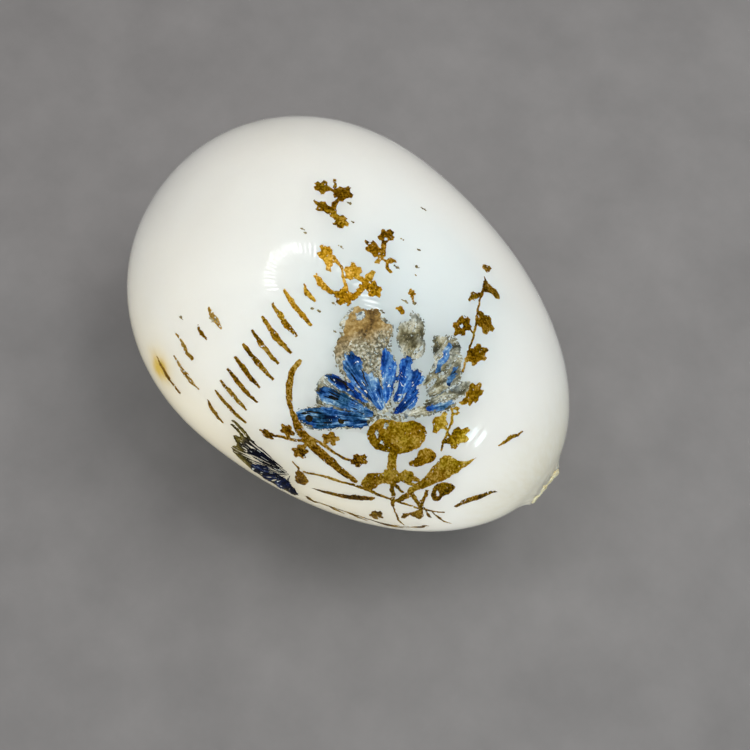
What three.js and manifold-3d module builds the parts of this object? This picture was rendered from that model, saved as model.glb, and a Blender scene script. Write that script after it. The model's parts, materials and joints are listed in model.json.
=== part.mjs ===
// A hand-blown opal glass Easter egg with gilt and blue enamel flowers, lying on its side.
// Millimetres, +Z up. The egg's own axis runs along X, small end towards +X and a little low,
// as the egg lies when nothing holds it. The decorated side faces up and towards -Y.
// The origin is under the middle of the egg, on the surface that it lies on.
//
// Decoration is laid out on a flat chart of the shell's skin and then bent round it:
//   along   arc length over the skin from the widest circle, + towards the small end
//   around  arc length round the widest circle from its top, + towards -Y
import * as THREE from "three";
import { mergeVertices } from "three/addons/utils/BufferGeometryUtils.js";
import { TessellateModifier } from "three/addons/modifiers/TessellateModifier.js";
import Module from "manifold-3d";

const wasm = await Module();
wasm.setup();

// ---- Driving dimensions ----
const MAX_RADIUS = 39.4; // at the widest circle
const BLUNT_LENGTH = 43.4; // widest circle to the blunt pole
const SMALL_LENGTH = 64; // widest circle to where the small end would close
const BLUNT_POWER = 2.1; // 2 is an ellipse, more is squarer
const WALL = 2; // mean thickness of the glass
const WALL_SAG = 0.4; // the underside is this much thicker than the mean, the top as much thinner
const NECK_ROOT_RADIUS = 8.2; // where the skin turns out into the snapped neck
const NECK_RADIUS = 5.1;
const NECK_END = 64.2; // from the widest circle, along the axis
const BLOW_HOLE_RADIUS = 1.6;
const CRUST_THICKNESS = 0.6; // dried filler on the broken rim
const CRUST_GAP = 0.15;
const CRUST_INNER_RADIUS = 2.1;
const CRUST_OUTER_RADIUS = 4.9;
const REST_TILT = 6.8; // degrees, small end down: the shell's centre of mass is over its contact
const REST_FLAT_DEPTH = 0.26; // how far the underside is flattened where the hot egg was laid down
const FILM_THICKNESS = 0.15; // gilding and enamel
const GILT_HEIGHT = 0.2; // clear of the glass
const ENAMEL_HEIGHT = 0.5; // clear of the gilding beneath it
const FRIEZE_BLADES = 9;
const FRIEZE_PITCH = 3.45;
const FRIEZE_START = 13.4; // around, at the foot of the first blade
const FRIEZE_FOOT = -0.8; // along
const FRIEZE_TIPS = [8.2, 7.2]; // along, by turns
const FRIEZE_LEAN = 2.1; // how far round a blade's tip is from its foot
const BLADE_WIDTH = 1.3;
const WORN_BLADE_WIDTH = 1.4;

// ---- Facets ----
const SKIN_SEGMENTS = 40;
const BLUNT_RINGS = 11;
const SMALL_RINGS = 14;
const CAVITY_SEGMENTS = 28;
const CAVITY_BLUNT_RINGS = 7;
const CAVITY_SMALL_RINGS = 10;
const NECK_RINGS = 4;
const HOLE_SEGMENTS = 16;
const RIM_SEGMENTS = 24;
const FILM_EDGE = 6; // longest edge of a film's facets
const FILM_ROUNDS = 8; // times a film's facets may be halved
const OUTLINE_STEP = 1.25; // spacing of points on a curved outline
const ARC_STEPS = 2000; // of the table from arc length to position on the axis
const WELD = 1e-4; // points closer than this are one point
const PAST = 1; // a cutter reaches this far past what it cuts

// ---- Materials ----
const opalGlass = new THREE.MeshStandardMaterial({ color: 0xe4e8e4, roughness: 0.08, metalness: 0 });
const filler = new THREE.MeshStandardMaterial({ color: 0xd9cf9c, roughness: 0.9, metalness: 0 });
const gilt = new THREE.MeshStandardMaterial({ color: 0x8c6318, roughness: 0.45, metalness: 0.7 });
const wornGilt = new THREE.MeshStandardMaterial({ color: 0x8f8566, roughness: 0.6, metalness: 0.4 });
const rustyGilt = new THREE.MeshStandardMaterial({ color: 0xc08540, roughness: 0.6, metalness: 0.4 });
const blueEnamel = new THREE.MeshStandardMaterial({ color: 0x2b5fae, roughness: 0.4, metalness: 0 });
const navyEnamel = new THREE.MeshStandardMaterial({ color: 0x15183c, roughness: 0.4, metalness: 0 });

const egg = new THREE.Group();

// ---- The shell's outline, as radius against distance along the axis ----
function radiusAt(x) {
  const power = x < 0 ? BLUNT_POWER : 2;
  const share = Math.min(Math.abs(x) / (x < 0 ? BLUNT_LENGTH : SMALL_LENGTH), 1);
  return MAX_RADIUS * Math.pow(1 - Math.pow(share, power), 1 / power);
}

// Axis positions of rings, close together towards both poles.
function ringPositions(bluntRings, smallRings, smallEnd) {
  const xs = [];
  for (let i = 0; i <= bluntRings; i += 1) {
    xs.push(-BLUNT_LENGTH * Math.cos(((i / bluntRings) * Math.PI) / 2));
  }
  const lastAngle = Math.asin(smallEnd / SMALL_LENGTH);
  for (let i = 1; i <= smallRings; i += 1) {
    xs.push(SMALL_LENGTH * Math.sin((i / smallRings) * lastAngle));
  }
  return xs;
}

// ---- Solids ----
function solidOf(geometry) {
  const bare = new THREE.BufferGeometry();
  bare.setAttribute("position", geometry.getAttribute("position"));
  bare.setIndex(geometry.index);
  const merged = mergeVertices(bare, WELD);
  return new wasm.Manifold(
    new wasm.Mesh({
      numProp: 3,
      vertProperties: new Float32Array(merged.attributes.position.array),
      triVerts: new Uint32Array(merged.index.array),
    }),
  );
}

function geometryOf(solid) {
  const mesh = solid.getMesh();
  const vertices = new Float32Array(mesh.vertProperties);
  const faces = new Uint32Array(mesh.triVerts);
  const geometry = new THREE.BufferGeometry();
  geometry.setAttribute("position", new THREE.BufferAttribute(vertices, 3));
  geometry.setIndex(new THREE.BufferAttribute(faces, 1));
  return geometry;
}

// Turns a profile of [x, radius] about the X axis.
function turned(profile, segments) {
  const points = profile.map(([x, radius]) => new THREE.Vector2(radius, x));
  const geometry = new THREE.LatheGeometry(points, segments);
  geometry.rotateZ(-Math.PI / 2);
  return geometry;
}

// The chart is left-handed on the shell (along +X, around -Y, up), so bending turns faces inwards.
function turnFacesRound(geometry) {
  const index = geometry.index.array;
  for (let i = 0; i < index.length; i += 3) {
    [index[i + 1], index[i + 2]] = [index[i + 2], index[i + 1]];
  }
}

function addPiece(name, geometry, material) {
  geometry.computeVertexNormals();
  const mesh = new THREE.Mesh(geometry, material);
  mesh.name = name;
  egg.add(mesh);
}

// ---- Glass shell ----
function buildShell() {
  const neckRoot = SMALL_LENGTH * Math.sqrt(1 - (NECK_ROOT_RADIUS / MAX_RADIUS) ** 2);
  const outside = ringPositions(BLUNT_RINGS, SMALL_RINGS, neckRoot).map((x) => [x, radiusAt(x)]);
  const flare = new THREE.QuadraticBezierCurve(
    new THREE.Vector2(neckRoot, NECK_ROOT_RADIUS),
    new THREE.Vector2(neckRoot + (NECK_END - neckRoot) / 2, NECK_RADIUS),
    new THREE.Vector2(NECK_END, NECK_RADIUS),
  );
  const neck = flare.getPoints(NECK_RINGS).slice(1);
  const profile = [...outside, ...neck.map((p) => [p.x, p.y]), [NECK_END, 0]];
  const outer = solidOf(turned(profile, SKIN_SEGMENTS));

  const shrink = (MAX_RADIUS - WALL) / MAX_RADIUS;
  const cavityXs = ringPositions(CAVITY_BLUNT_RINGS, CAVITY_SMALL_RINGS, SMALL_LENGTH);
  const cavityShape = turned(
    cavityXs.map((x) => [x * shrink, radiusAt(x) * shrink]),
    CAVITY_SEGMENTS,
  );
  cavityShape.translate(0, 0, WALL_SAG);
  const holeStart = neckRoot - WALL - PAST - BLOW_HOLE_RADIUS;
  const hole = turned(
    [
      [holeStart, 0],
      [holeStart, BLOW_HOLE_RADIUS],
      [NECK_END + PAST, BLOW_HOLE_RADIUS],
      [NECK_END + PAST, 0],
    ],
    HOLE_SEGMENTS,
  );
  return outer.subtract(solidOf(cavityShape)).subtract(solidOf(hole));
}

// ---- Films of gilding and enamel ----
const arcTable = (() => {
  const table = [];
  let along = 0;
  let last = [-BLUNT_LENGTH, 0];
  for (let i = 0; i <= ARC_STEPS; i += 1) {
    const angle = (i / ARC_STEPS - 0.5) * Math.PI;
    const x = (angle < 0 ? BLUNT_LENGTH : SMALL_LENGTH) * Math.sin(angle);
    const radius = radiusAt(x);
    along += Math.hypot(x - last[0], radius - last[1]);
    last = [x, radius];
    table.push([along, x]);
  }
  const widest = table[ARC_STEPS / 2][0];
  return table.map(([arc, x]) => [arc - widest, x]);
})();

// The position on the axis of a place that lies along the skin from the widest circle.
function axisPosition(along) {
  let low = 0;
  let high = ARC_STEPS;
  while (high - low > 1) {
    const middle = (low + high) >> 1;
    if (arcTable[middle][0] > along) {
      high = middle;
    } else {
      low = middle;
    }
  }
  const [arc0, x0] = arcTable[low];
  const [arc1, x1] = arcTable[high];
  return x0 + ((x1 - x0) * (along - arc0)) / (arc1 - arc0);
}

// The point at a place on the chart, standing clear of the skin by height.
function skinPoint(along, around, height) {
  const x = axisPosition(along);
  const radius = radiusAt(x);
  const step = 0.01;
  const slope = (radiusAt(x + step) - radiusAt(x - step)) / (2 * step);
  const rise = height / Math.hypot(1, slope);
  const angle = around / MAX_RADIUS;
  const reach = radius + rise;
  return [x - slope * rise, -reach * Math.sin(angle), reach * Math.cos(angle)];
}

// A smooth closed outline through hand-set points of the chart.
function patch(...points) {
  const curve = new THREE.CatmullRomCurve3(
    points.map(([a, b]) => new THREE.Vector3(a, b, 0)),
    true,
    "centripetal",
  );
  const count = Math.max(points.length, Math.round(curve.getLength() / OUTLINE_STEP));
  return curve.getSpacedPoints(count).slice(0, count).map((p) => [p.x, p.y]);
}

// A brush stroke along hand-set points, thickest in the middle of its length and thin at its ends.
// endShare is the width at the ends as a share of the full width.
function stroke(width, endShare, ...points) {
  const curve = new THREE.CatmullRomCurve3(
    points.map(([a, b]) => new THREE.Vector3(a, b, 0)),
    false,
    "centripetal",
  );
  const count = Math.max(2, Math.round(curve.getLength() / (2 * OUTLINE_STEP)));
  const left = [];
  const right = [];
  for (let i = 0; i <= count; i += 1) {
    const t = i / count;
    const centre = curve.getPointAt(t);
    const heading = curve.getTangentAt(t);
    const half = (width / 2) * (endShare + (1 - endShare) * Math.sin(Math.PI * t));
    left.push([centre.x - heading.y * half, centre.y + heading.x * half]);
    right.unshift([centre.x + heading.y * half, centre.y - heading.x * half]);
  }
  return [...left, ...right];
}

// A lobed leaf at its middle, pointing at heading (degrees, 0 along, 90 around).
function leaf(along, around, length, width, heading, lobes = 5) {
  const stretch = MAX_RADIUS / radiusAt(axisPosition(along));
  const turn = THREE.MathUtils.degToRad(heading);
  const lobePoints = [
    [-0.17, 0.98],
    [0.17, 0.98],
    [0.5, 0.66],
  ];
  const points = [];
  for (let i = 0; i < lobes; i += 1) {
    for (const [share, reach] of lobePoints) {
      const angle = ((i + share) / lobes) * 2 * Math.PI;
      const p = (length / 2) * reach * Math.cos(angle);
      const q = (width / 2) * reach * Math.sin(angle);
      points.push([
        along + p * Math.cos(turn) - q * Math.sin(turn),
        around + (p * Math.sin(turn) + q * Math.cos(turn)) * stretch,
      ]);
    }
  }
  return points;
}

function flatSlab(points, depth) {
  const shape = new THREE.Shape(points.map(([a, b]) => new THREE.Vector2(a, b)));
  return solidOf(new THREE.ExtrudeGeometry(shape, { depth, bevelEnabled: false }));
}

// One film: its outlines joined, its holes cut, then bent round the shell.
function film(name, material, height, outlines, holes = []) {
  let slab = flatSlab(outlines[0], FILM_THICKNESS);
  for (const outline of outlines.slice(1)) {
    slab = slab.add(flatSlab(outline, FILM_THICKNESS));
  }
  for (const hole of holes) {
    slab = slab.subtract(flatSlab(hole, FILM_THICKNESS + 2 * PAST).translate([0, 0, -PAST]));
  }
  const fine = new TessellateModifier(FILM_EDGE, FILM_ROUNDS).modify(geometryOf(slab).toNonIndexed());
  const geometry = mergeVertices(fine, WELD);
  const position = geometry.attributes.position;
  for (let i = 0; i < position.count; i += 1) {
    position.setXYZ(i, ...skinPoint(position.getX(i), position.getY(i), height + position.getZ(i)));
  }
  turnFacesRound(geometry);
  addPiece(name, geometry, material);
}

const gilding = (name, outlines, holes) => film(name, gilt, GILT_HEIGHT, outlines, holes);
const wornGilding = (name, outlines, holes) => film(name, wornGilt, GILT_HEIGHT, outlines, holes);
const blue = (name, outlines) => film(name, blueEnamel, ENAMEL_HEIGHT, outlines);
const navy = (name, outlines) => film(name, navyEnamel, ENAMEL_HEIGHT, outlines);

// ---- Gilt sprigs over the flower ----
function buildUpperSprigs() {
  gilding("sprig_top", [
    leaf(-8.7, -8.4, 3.8, 3.6, 190),
    stroke(0.8, 0.5, [-7.8, -11.8], [-6.6, -9.8], [-5, -9]),
    leaf(-4.6, -10, 4.8, 3.9, 270),
    stroke(0.9, 0.8, [-7.5, -9], [-6, -9.2], [-4.6, -9.4]),
    stroke(1, 0.9, [-4.6, -9], [-4.1, -6.8], [-2.6, -4.8]),
    leaf(-5.3, -4.9, 5, 2.5, 175),
    leaf(-0.8, -4.5, 3.6, 3.3, 340),
    stroke(0.9, 0.8, [-4, -4.6], [-2, -4.4], [-0.6, -4.4]),
  ]);
  gilding(
    "sprig_crown",
    [
      leaf(7.8, -8.6, 4, 3.3, 270),
      stroke(1.1, 0.8, [8.4, -7.4], [9.7, -5], [10.2, -2.4]),
      leaf(7.5, -4.6, 4.6, 3, 180),
      stroke(0.8, 0.8, [9.9, -4], [11, -4.2], [12, -5]),
      leaf(11.9, -5.1, 2, 1.7, 320, 3),
      stroke(0.7, 0.8, [11.4, -4.4], [12.3, -3.4], [13.4, -3]),
    ],
    [patch([7.8, -8.2], [8.3, -8.6], [8.7, -8], [8.3, -7.5])],
  );
  gilding("leaf_loose_upper", [
    leaf(19, -3, 2.1, 2, 200),
    stroke(0.5, 0.5, [19.2, -2.8], [20.9, -1.7]),
  ]);
  gilding("leaf_loose_lower", [leaf(19.6, 1.6, 2.4, 1.5, 150, 4)]);
  gilding("sprig_upper", [
    leaf(1.5, 2.8, 5, 3.4, 200),
    stroke(1.4, 0.6, [2.2, 2.6], [3.2, 3.6], [3.8, 5.2]),
    stroke(0.6, 0.8, [2.4, 1.9], [6, 3.2], [9, 5.8]),
    leaf(7.7, 1.9, 4.2, 4, 300),
    stroke(1.5, 0.6, [10.6, -0.8], [10.8, 1], [11.2, 2.4]),
    leaf(13, 2, 3.8, 3.2, 10),
    stroke(1.3, 0.9, [9, 2.2], [11, 2], [13, 2]),
    stroke(1.4, 0.9, [11.2, 1.6], [11.2, 4], [10.8, 6.4]),
    leaf(9.5, 6.9, 4.6, 3.8, 160),
    stroke(1.3, 0.7, [2.2, 7.1], [5, 8.1], [9, 7.6]),
  ]);
}

// ---- Frieze of slim blades beside the flower, and the worn second row ----
function buildFrieze() {
  gilding("frieze_end_blade_1", [stroke(BLADE_WIDTH, 0.35, [1.5, 10.2], [3.6, 11.2], [5.8, 11])]);
  for (let i = 0; i < FRIEZE_BLADES; i += 1) {
    const around = FRIEZE_START + i * FRIEZE_PITCH;
    const tip = FRIEZE_TIPS[i % 2];
    const foot = [FRIEZE_FOOT, around];
    const middle = [tip / 2, around + (FRIEZE_LEAN * 2) / 3];
    const point = [tip, around + FRIEZE_LEAN];
    gilding("frieze_blade_" + (i + 1), [stroke(BLADE_WIDTH, 0.45, foot, middle, point)]);
  }
  gilding("frieze_end_blade_2", [stroke(BLADE_WIDTH, 0.35, [-1.3, 44.6], [0.8, 46.8], [4.2, 48.2])]);
  // Foot along, foot around, length
  const wornRow = [
    [-10.8, 26.6, 4.9],
    [-11.2, 31.2, 4],
    [-14.4, 36.9, 6.6],
    [-12.4, 42.2, 8.4],
    [-16.4, 48.6, 9.4],
  ];
  wornRow.forEach(([along, around, length], i) => {
    const foot = [along, around];
    const middle = [along + length / 2, around + length / 6];
    const point = [along + length, around + length / 4];
    const outline = stroke(WORN_BLADE_WIDTH, 0.4, foot, middle, point);
    film("frieze_worn_blade_" + (i + 1), rustyGilt, GILT_HEIGHT, [outline]);
  });
}

// ---- Cornflower: gilt ground, worn petals and the enamelled petals on them ----
function buildFlower() {
  wornGilding(
    "bloom_cap",
    [
      patch(
        [12.5, 7.8], [15, 6.2], [16.9, 4.2], [18.4, 5.7], [20, 5.2], [21.4, 7], [22.6, 9],
        [24.4, 12], [25.6, 15], [27.4, 17.4], [30, 19.6], [28.6, 21], [24, 20.4], [19.6, 19.6],
        [16.4, 18.2], [14.4, 16], [14.2, 13.4], [12.7, 11.8],
      ),
    ],
    [patch([13.4, 8], [14.6, 7], [15.3, 8.2], [14.2, 9])],
  );
  wornGilding("bloom_ground_left", [
    patch(
      [16, 32.8], [16.6, 30.6], [18.6, 28.4], [16.6, 25.6], [16.4, 22], [19, 20.6], [24, 21.4],
      [29, 21.8], [28.8, 23.6], [29, 24.2], [28.2, 26.8], [24.6, 29.6], [22.6, 31.8],
      [18.8, 34],
    ),
  ]);
  wornGilding("worn_petal_1", [
    patch(
      [21.8, 0.2], [23.6, -0.2], [25.2, 0.9], [26.2, 2.8], [27.8, 4.2], [28.3, 6.2],
      [26.6, 8.2], [24, 7.2], [22.2, 5.6], [21.6, 3.6], [22.6, 2.2],
    ),
  ]);
  wornGilding("worn_petal_2", [
    patch(
      [30.2, -1.4], [31.8, -2.2], [34, -1], [34.2, 2], [33.8, 7], [33.2, 11], [32.4, 7.4],
      [31.4, 4], [29.6, 3], [28.4, 0.4], [30, 0],
    ),
  ]);
  wornGilding("worn_petal_3", [
    patch(
      [35, -0.4], [36.2, 1.2], [37.6, 4.6], [37, 7.6], [35.6, 11.4], [34.4, 11.6], [34.6, 5],
      [34.8, 2],
    ),
  ]);
  wornGilding("worn_petal_4", [
    patch(
      [40, 3], [40.6, 5], [39.4, 8.2], [37.4, 12], [35.4, 14.4], [35.8, 12], [37.4, 7.8],
      [38.4, 4.8],
    ),
  ]);
  wornGilding("worn_petal_5", [
    patch([40.2, 9.4], [40, 11.2], [38, 14.4], [35.2, 17.6], [33.8, 18.4], [34.8, 16], [37.8, 11.8]),
  ]);
  blue("petal_1", [
    patch(
      [16.2, 32.6], [17, 31], [18.8, 28.8], [21.2, 27], [24.2, 25.6], [28, 24.6], [28.8, 25.4],
      [26.2, 28.2], [24.2, 29.6], [22.6, 31.6], [20.4, 33], [17.2, 33.6],
    ),
  ]);
  blue("petal_2", [
    patch(
      [17, 25], [18, 23.8], [20.6, 22.9], [24, 22.4], [28, 22.6], [28.6, 23.6], [25.6, 24.4],
      [21.6, 25.8], [18.4, 26.6],
    ),
  ]);
  blue("petal_3", [
    patch([16.6, 21.6], [18.2, 20.7], [20.6, 20.3], [23, 20.8], [26, 21.5], [23, 22], [19, 22.2]),
  ]);
  blue("petal_4", [
    patch(
      [16.8, 15.4], [19.2, 14.8], [21.4, 16.4], [24, 15.8], [26.4, 17.3], [29.2, 19.8],
      [28.4, 20.8], [24.4, 20.1], [20.4, 19.2], [17.6, 17.6],
    ),
  ]);
  blue("petal_5", [
    patch(
      [22.6, 9.8], [24.2, 10], [26.2, 11.8], [27.6, 13.8], [28.8, 16.8], [29.2, 18.6],
      [26.8, 16.8], [24.6, 14.4], [23, 11.8],
    ),
  ]);
  blue("petal_6", [
    patch(
      [26.5, 8.4], [27.4, 8.1], [28.1, 9.5], [29.2, 10.1], [30, 8.9], [31.6, 9.3], [31.9, 11],
      [31.1, 12.6], [30.7, 15], [31, 17.6], [29.9, 16.4], [28.8, 13.8], [27, 10.8],
    ),
  ]);
  blue("petal_7", [
    patch([31.8, 12.4], [33, 13.4], [33.5, 15.2], [32.9, 17.6], [31.8, 19.8], [31.5, 17], [31.3, 14.6]),
  ]);
  blue("petal_streak_1", [stroke(0.9, 0.4, [31.5, -0.6], [32.4, 2.8], [33.3, 6.8])]);
  blue("petal_streak_2", [stroke(0.9, 0.4, [35.7, 2.6], [36.2, 4.8], [36.6, 7])]);
  blue("petal_streak_3", [stroke(1, 0.4, [39.4, 9.8], [38.4, 12], [36.8, 14.4])]);
}

// ---- Calyx, stems and leaves under the flower ----
function buildFoliage() {
  gilding(
    "bouquet_gilding",
    [
      patch(
        [29.4, 24.4], [29.2, 26.6], [30.4, 28.6], [32.6, 29.7], [35.2, 29.4], [37.4, 27.9],
        [39.4, 25.6], [40.2, 22.6], [39.6, 19.8], [37.6, 18.2], [35.4, 18.8], [33.8, 20.6],
        [32.4, 21.4], [30.6, 22.4],
      ),
      stroke(2, 0.9, [36.4, 28], [37.2, 30.4], [38.4, 33.4]),
      leaf(42, 33.2, 5.4, 3.6, 350, 4),
      patch(
        [37.6, 32.4], [40.4, 33], [41.4, 35], [40.6, 37.6], [38.4, 38.4], [38, 40.8],
        [36.9, 43], [35, 42.8], [34.7, 39.6], [35.2, 36.8], [37, 35.4],
      ),
      stroke(1, 0.8, [39.6, 36.8], [41.6, 37.7], [43.4, 38.9]),
      stroke(0.9, 0.8, [40, 36.4], [42, 41.2], [43.7, 46.2]),
      stroke(0.5, 0.7, [43.4, 45.4], [46, 53], [47.4, 56.4], [48, 57.8]),
      stroke(1.8, 0.8, [45, 33.8], [44.8, 37], [44.6, 40], [43.5, 43.2]),
      patch(
        [52, 17.6], [51.4, 20.6], [50.6, 25], [49, 29.8], [46.8, 34.4], [45.2, 36.6],
        [44.3, 34.6], [45.2, 30.8], [45.3, 26], [45.6, 23], [46.6, 21.3], [48.8, 21.5],
        [50.4, 20.2],
      ),
      stroke(1.2, 0.8, [41.8, 34], [43.4, 35], [45, 35]),
      stroke(1.1, 0.8, [45.2, 37.6], [47.6, 41], [49.6, 44]),
      stroke(0.9, 0.8, [47.6, 34.8], [48.4, 40.8], [48.9, 44]),
      stroke(
        1.1, 0.6, [23.4, 47.2], [26.5, 45.2], [30, 44.2], [34.6, 43.1], [39.7, 43],
        [44.3, 43.2], [49, 43.8], [54.4, 43.6],
      ),
      patch([49, 43.6], [50.2, 46], [50.6, 49], [50, 51], [48.9, 49.6], [47.8, 47.8], [48.4, 45.4]),
      stroke(1.5, 0.6, [48.6, 46.8], [47, 48.6], [46.8, 51.8]),
      stroke(0.8, 0.7, [50.2, 44], [51.4, 46], [52.4, 48.2]),
      stroke(0.6, 0.6, [51.6, 43.8], [54, 47.6], [57.6, 52.6]),
    ],
    [
      patch([31.6, 23], [32.6, 22.6], [32.7, 23.8], [32, 24.6]),
      patch([31, 25.4], [31.7, 25.6], [31.9, 27], [31, 27]),
      patch([32.8, 27], [33.5, 27.1], [33.4, 27.8], [32.8, 27.7]),
    ],
  );
  gilding("sword_leaf", [
    stroke(1.5, 0.5, [10.5, 22.4], [10.5, 25], [11.6, 28.6], [13.6, 31.6], [15.6, 33.4]),
    patch(
      [13.4, 30.9], [16.6, 33.6], [21, 35.8], [25.6, 37.4], [30, 39.2], [34.3, 41.2],
      [34.4, 42.2], [30, 41.4], [24.4, 39.8], [19.4, 38], [15.4, 34.4],
    ),
    stroke(0.8, 0.8, [20.4, 37.8], [17.2, 39.8], [14, 41.6]),
    leaf(16.2, 37.9, 3.8, 3.6, 200),
    stroke(0.8, 0.8, [16.4, 38.2], [17.4, 39], [17.6, 39.4]),
    leaf(13.2, 42, 4, 2.6, 170),
    leaf(20.6, 41.4, 4.6, 3.6, 100),
    stroke(0.9, 0.8, [20.8, 38.2], [20.8, 39.4], [20.7, 41]),
    stroke(0.9, 0.7, [19.8, 35.8], [25, 36], [28.8, 36.4], [31.4, 35.6]),
    leaf(24.4, 33.5, 3.9, 3.7, 320),
    stroke(0.8, 0.8, [24.2, 34.4], [24, 35.4], [24, 36]),
    leaf(31.8, 34.9, 4.4, 3.4, 280),
  ]);
  gilding("trefoil_leaf", [
    patch(
      [40.4, 24], [41.4, 22.8], [43, 22.6], [44.2, 23.6], [44.6, 25], [43.8, 26.8],
      [42.8, 28.4], [41, 29.8], [40.5, 28.6], [41.2, 27.2], [40.5, 25.8],
    ),
  ]);
  gilding(
    "ring_leaf",
    [
      patch(
        [48.2, 32.6], [48.9, 30.6], [50.4, 29.8], [52.2, 30], [52.7, 32.4], [52.3, 34.6],
        [51.3, 35.4], [51.6, 37.6], [50.7, 38.6], [49.4, 37.2], [48.4, 34.9],
      ),
    ],
    [patch([49.4, 33.6], [50, 34.2], [50.6, 36], [50.2, 36.4], [49.6, 35.2])],
  );
  gilding("slim_leaf", [
    patch(
      [26.6, 52.2], [30, 50], [33, 48.4], [36, 46.2], [39.4, 44.6], [38.2, 47.2], [35, 49.4],
      [31, 51.2],
    ),
  ]);
}

// ---- Long sprig at the flower's right, and loose strokes by the small end ----
function buildSideSprigs() {
  gilding("sprig_tip_leaf", [leaf(26.8, -22.9, 2.8, 2.3, 275, 3)]);
  gilding(
    "sprig_long",
    [
      patch(
        [27.7, -20], [29.6, -19.9], [31, -20.8], [33.2, -20], [32.8, -18.8], [31, -18.2],
        [29.4, -16.6], [28.4, -18],
      ),
      stroke(1, 0.8, [29.2, -17.6], [29.6, -16], [30.1, -14.6]),
      leaf(28.9, -13.8, 4, 1.9, 100, 4),
      stroke(0.7, 0.8, [28.9, -14.8], [29.4, -15.4], [29.9, -15.8]),
      stroke(0.6, 0.8, [29.9, -15], [31.7, -11.7], [32.6, -9], [34, -6], [35.8, -1.8], [37.4, 2.2]),
      leaf(34.2, -11.1, 5.2, 4.4, 200),
      leaf(31, -5.6, 5.3, 3.6, 270, 6),
      stroke(0.6, 0.8, [31.6, -6], [32.6, -6.6], [33.8, -6.6]),
      leaf(37.2, -3.5, 6, 4.2, 290, 6),
    ],
    [patch([30.6, -6.4], [31.1, -6.5], [31.3, -5.4], [30.8, -5.2])],
  );
  gilding("sprig_leaf_low", [
    leaf(42.2, 3.9, 5.2, 3.8, 260, 6),
    stroke(1.3, 0.7, [41.8, 5.4], [41.5, 7], [41.3, 8.6]),
  ]);
  gilding(
    "sprig_side",
    [
      leaf(41.4, 10.6, 2.4, 2.2, 90, 4),
      stroke(0.6, 0.8, [41.4, 11.2], [42.2, 14.4], [43, 17.4], [44.6, 21.4]),
      leaf(45.4, 15.7, 6, 4.4, 280, 5),
      stroke(0.8, 0.8, [42.8, 16.4], [43.8, 16.6], [45, 16.4]),
      leaf(40.3, 15.5, 5, 3.2, 260, 4),
      stroke(0.7, 0.8, [40.6, 15.6], [41.6, 15.8], [42.8, 16]),
    ],
    [patch([40.9, 10.4], [41.5, 10], [41.9, 10.6], [41.4, 11])],
  );
  gilding("loose_stroke", [stroke(1.1, 0.3, [57.1, 0.4], [55.6, 5.2], [54.2, 10.5])]);
  gilding("loose_leaf", [stroke(2.2, 0.35, [62, 27], [59.4, 31.2], [57, 35.2], [55.5, 39.4])]);
}

// ---- Second flower, low on the front, and the sprig under it ----
function buildLowerFlower() {
  gilding("bud_ground", [
    patch(
      [7, 50], [8.8, 48.4], [11, 46.8], [13.4, 46.9], [16.4, 48.2], [19.2, 49.9], [21.2, 51.2],
      [22, 54], [23.8, 57.2], [24.5, 60.4], [24.2, 62], [22, 62.8], [19, 62.4], [16, 61.8],
      [13, 60.8], [11.4, 59.4], [9.8, 58.2], [8.2, 56.4], [8, 54.4], [8.4, 52],
    ),
    stroke(0.9, 0.5, [5.7, 44.9], [8.4, 46], [12, 47.8]),
    stroke(0.8, 0.5, [6, 46.4], [8.4, 47.5], [9.8, 49.6]),
  ]);
  navy("bud_petal_1", [
    patch(
      [11, 51.4], [12.8, 48.7], [16, 49], [19, 50.7], [20.8, 52], [18, 52.8], [14, 53],
      [11.8, 52.9],
    ),
  ]);
  navy("bud_petal_2", [stroke(3, 0.3, [16.8, 53.6], [14.6, 57.4], [13.8, 61])]);
  navy("bud_petal_3", [stroke(2.3, 0.3, [18.4, 54], [17.2, 58.4], [16.8, 62.2])]);
  navy("bud_petal_4", [stroke(2.2, 0.3, [19.9, 54], [20.4, 58.8], [20.3, 63])]);
  navy("bud_petal_5", [stroke(1.7, 0.3, [21.2, 54.6], [23, 58.8], [23.2, 62.6])]);
  gilding("bud_calyx", [
    patch([22.6, 50], [22.4, 47.8], [24.2, 47.6], [25.2, 49.6], [25.3, 52], [24.2, 53.4], [23, 52.6]),
    stroke(0.8, 0.5, [20.2, 45.4], [21.6, 46.4], [23, 48.8]),
  ]);
  gilding("under_flower", [leaf(41.6, 54, 5.6, 3.2, 80, 5)]);
  gilding("under_sprig", [
    stroke(0.8, 0.8, [26.8, 60.2], [33, 58.6], [39, 58.6], [44, 60.2], [50.4, 59.6]),
    stroke(1.8, 0.4, [26.4, 58.2], [27.4, 59.6], [29, 60.8]),
    stroke(1.5, 0.4, [31.8, 58.8], [33.6, 60.2], [35.6, 61]),
    stroke(1.5, 0.4, [36.4, 58.6], [38.4, 60.2], [40.6, 61.2]),
    stroke(2.6, 0.4, [43, 60], [45.6, 61.6], [48.4, 61.8]),
    stroke(2.3, 0.3, [49.4, 59.8], [51.6, 58.2], [53.2, 55.6]),
  ]);
}

// ---- Dried filler on the snapped rim ----
function buildCrust() {
  const start = NECK_END + CRUST_GAP;
  const edge = start + CRUST_THICKNESS / 2;
  const profile = [
    [start, CRUST_INNER_RADIUS],
    [start, CRUST_OUTER_RADIUS],
    [edge, CRUST_OUTER_RADIUS],
    [start + CRUST_THICKNESS, (CRUST_INNER_RADIUS + CRUST_OUTER_RADIUS) / 2],
    [edge, CRUST_INNER_RADIUS],
    [start, CRUST_INNER_RADIUS],
  ];
  return turned(profile, RIM_SEGMENTS);
}

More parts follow.
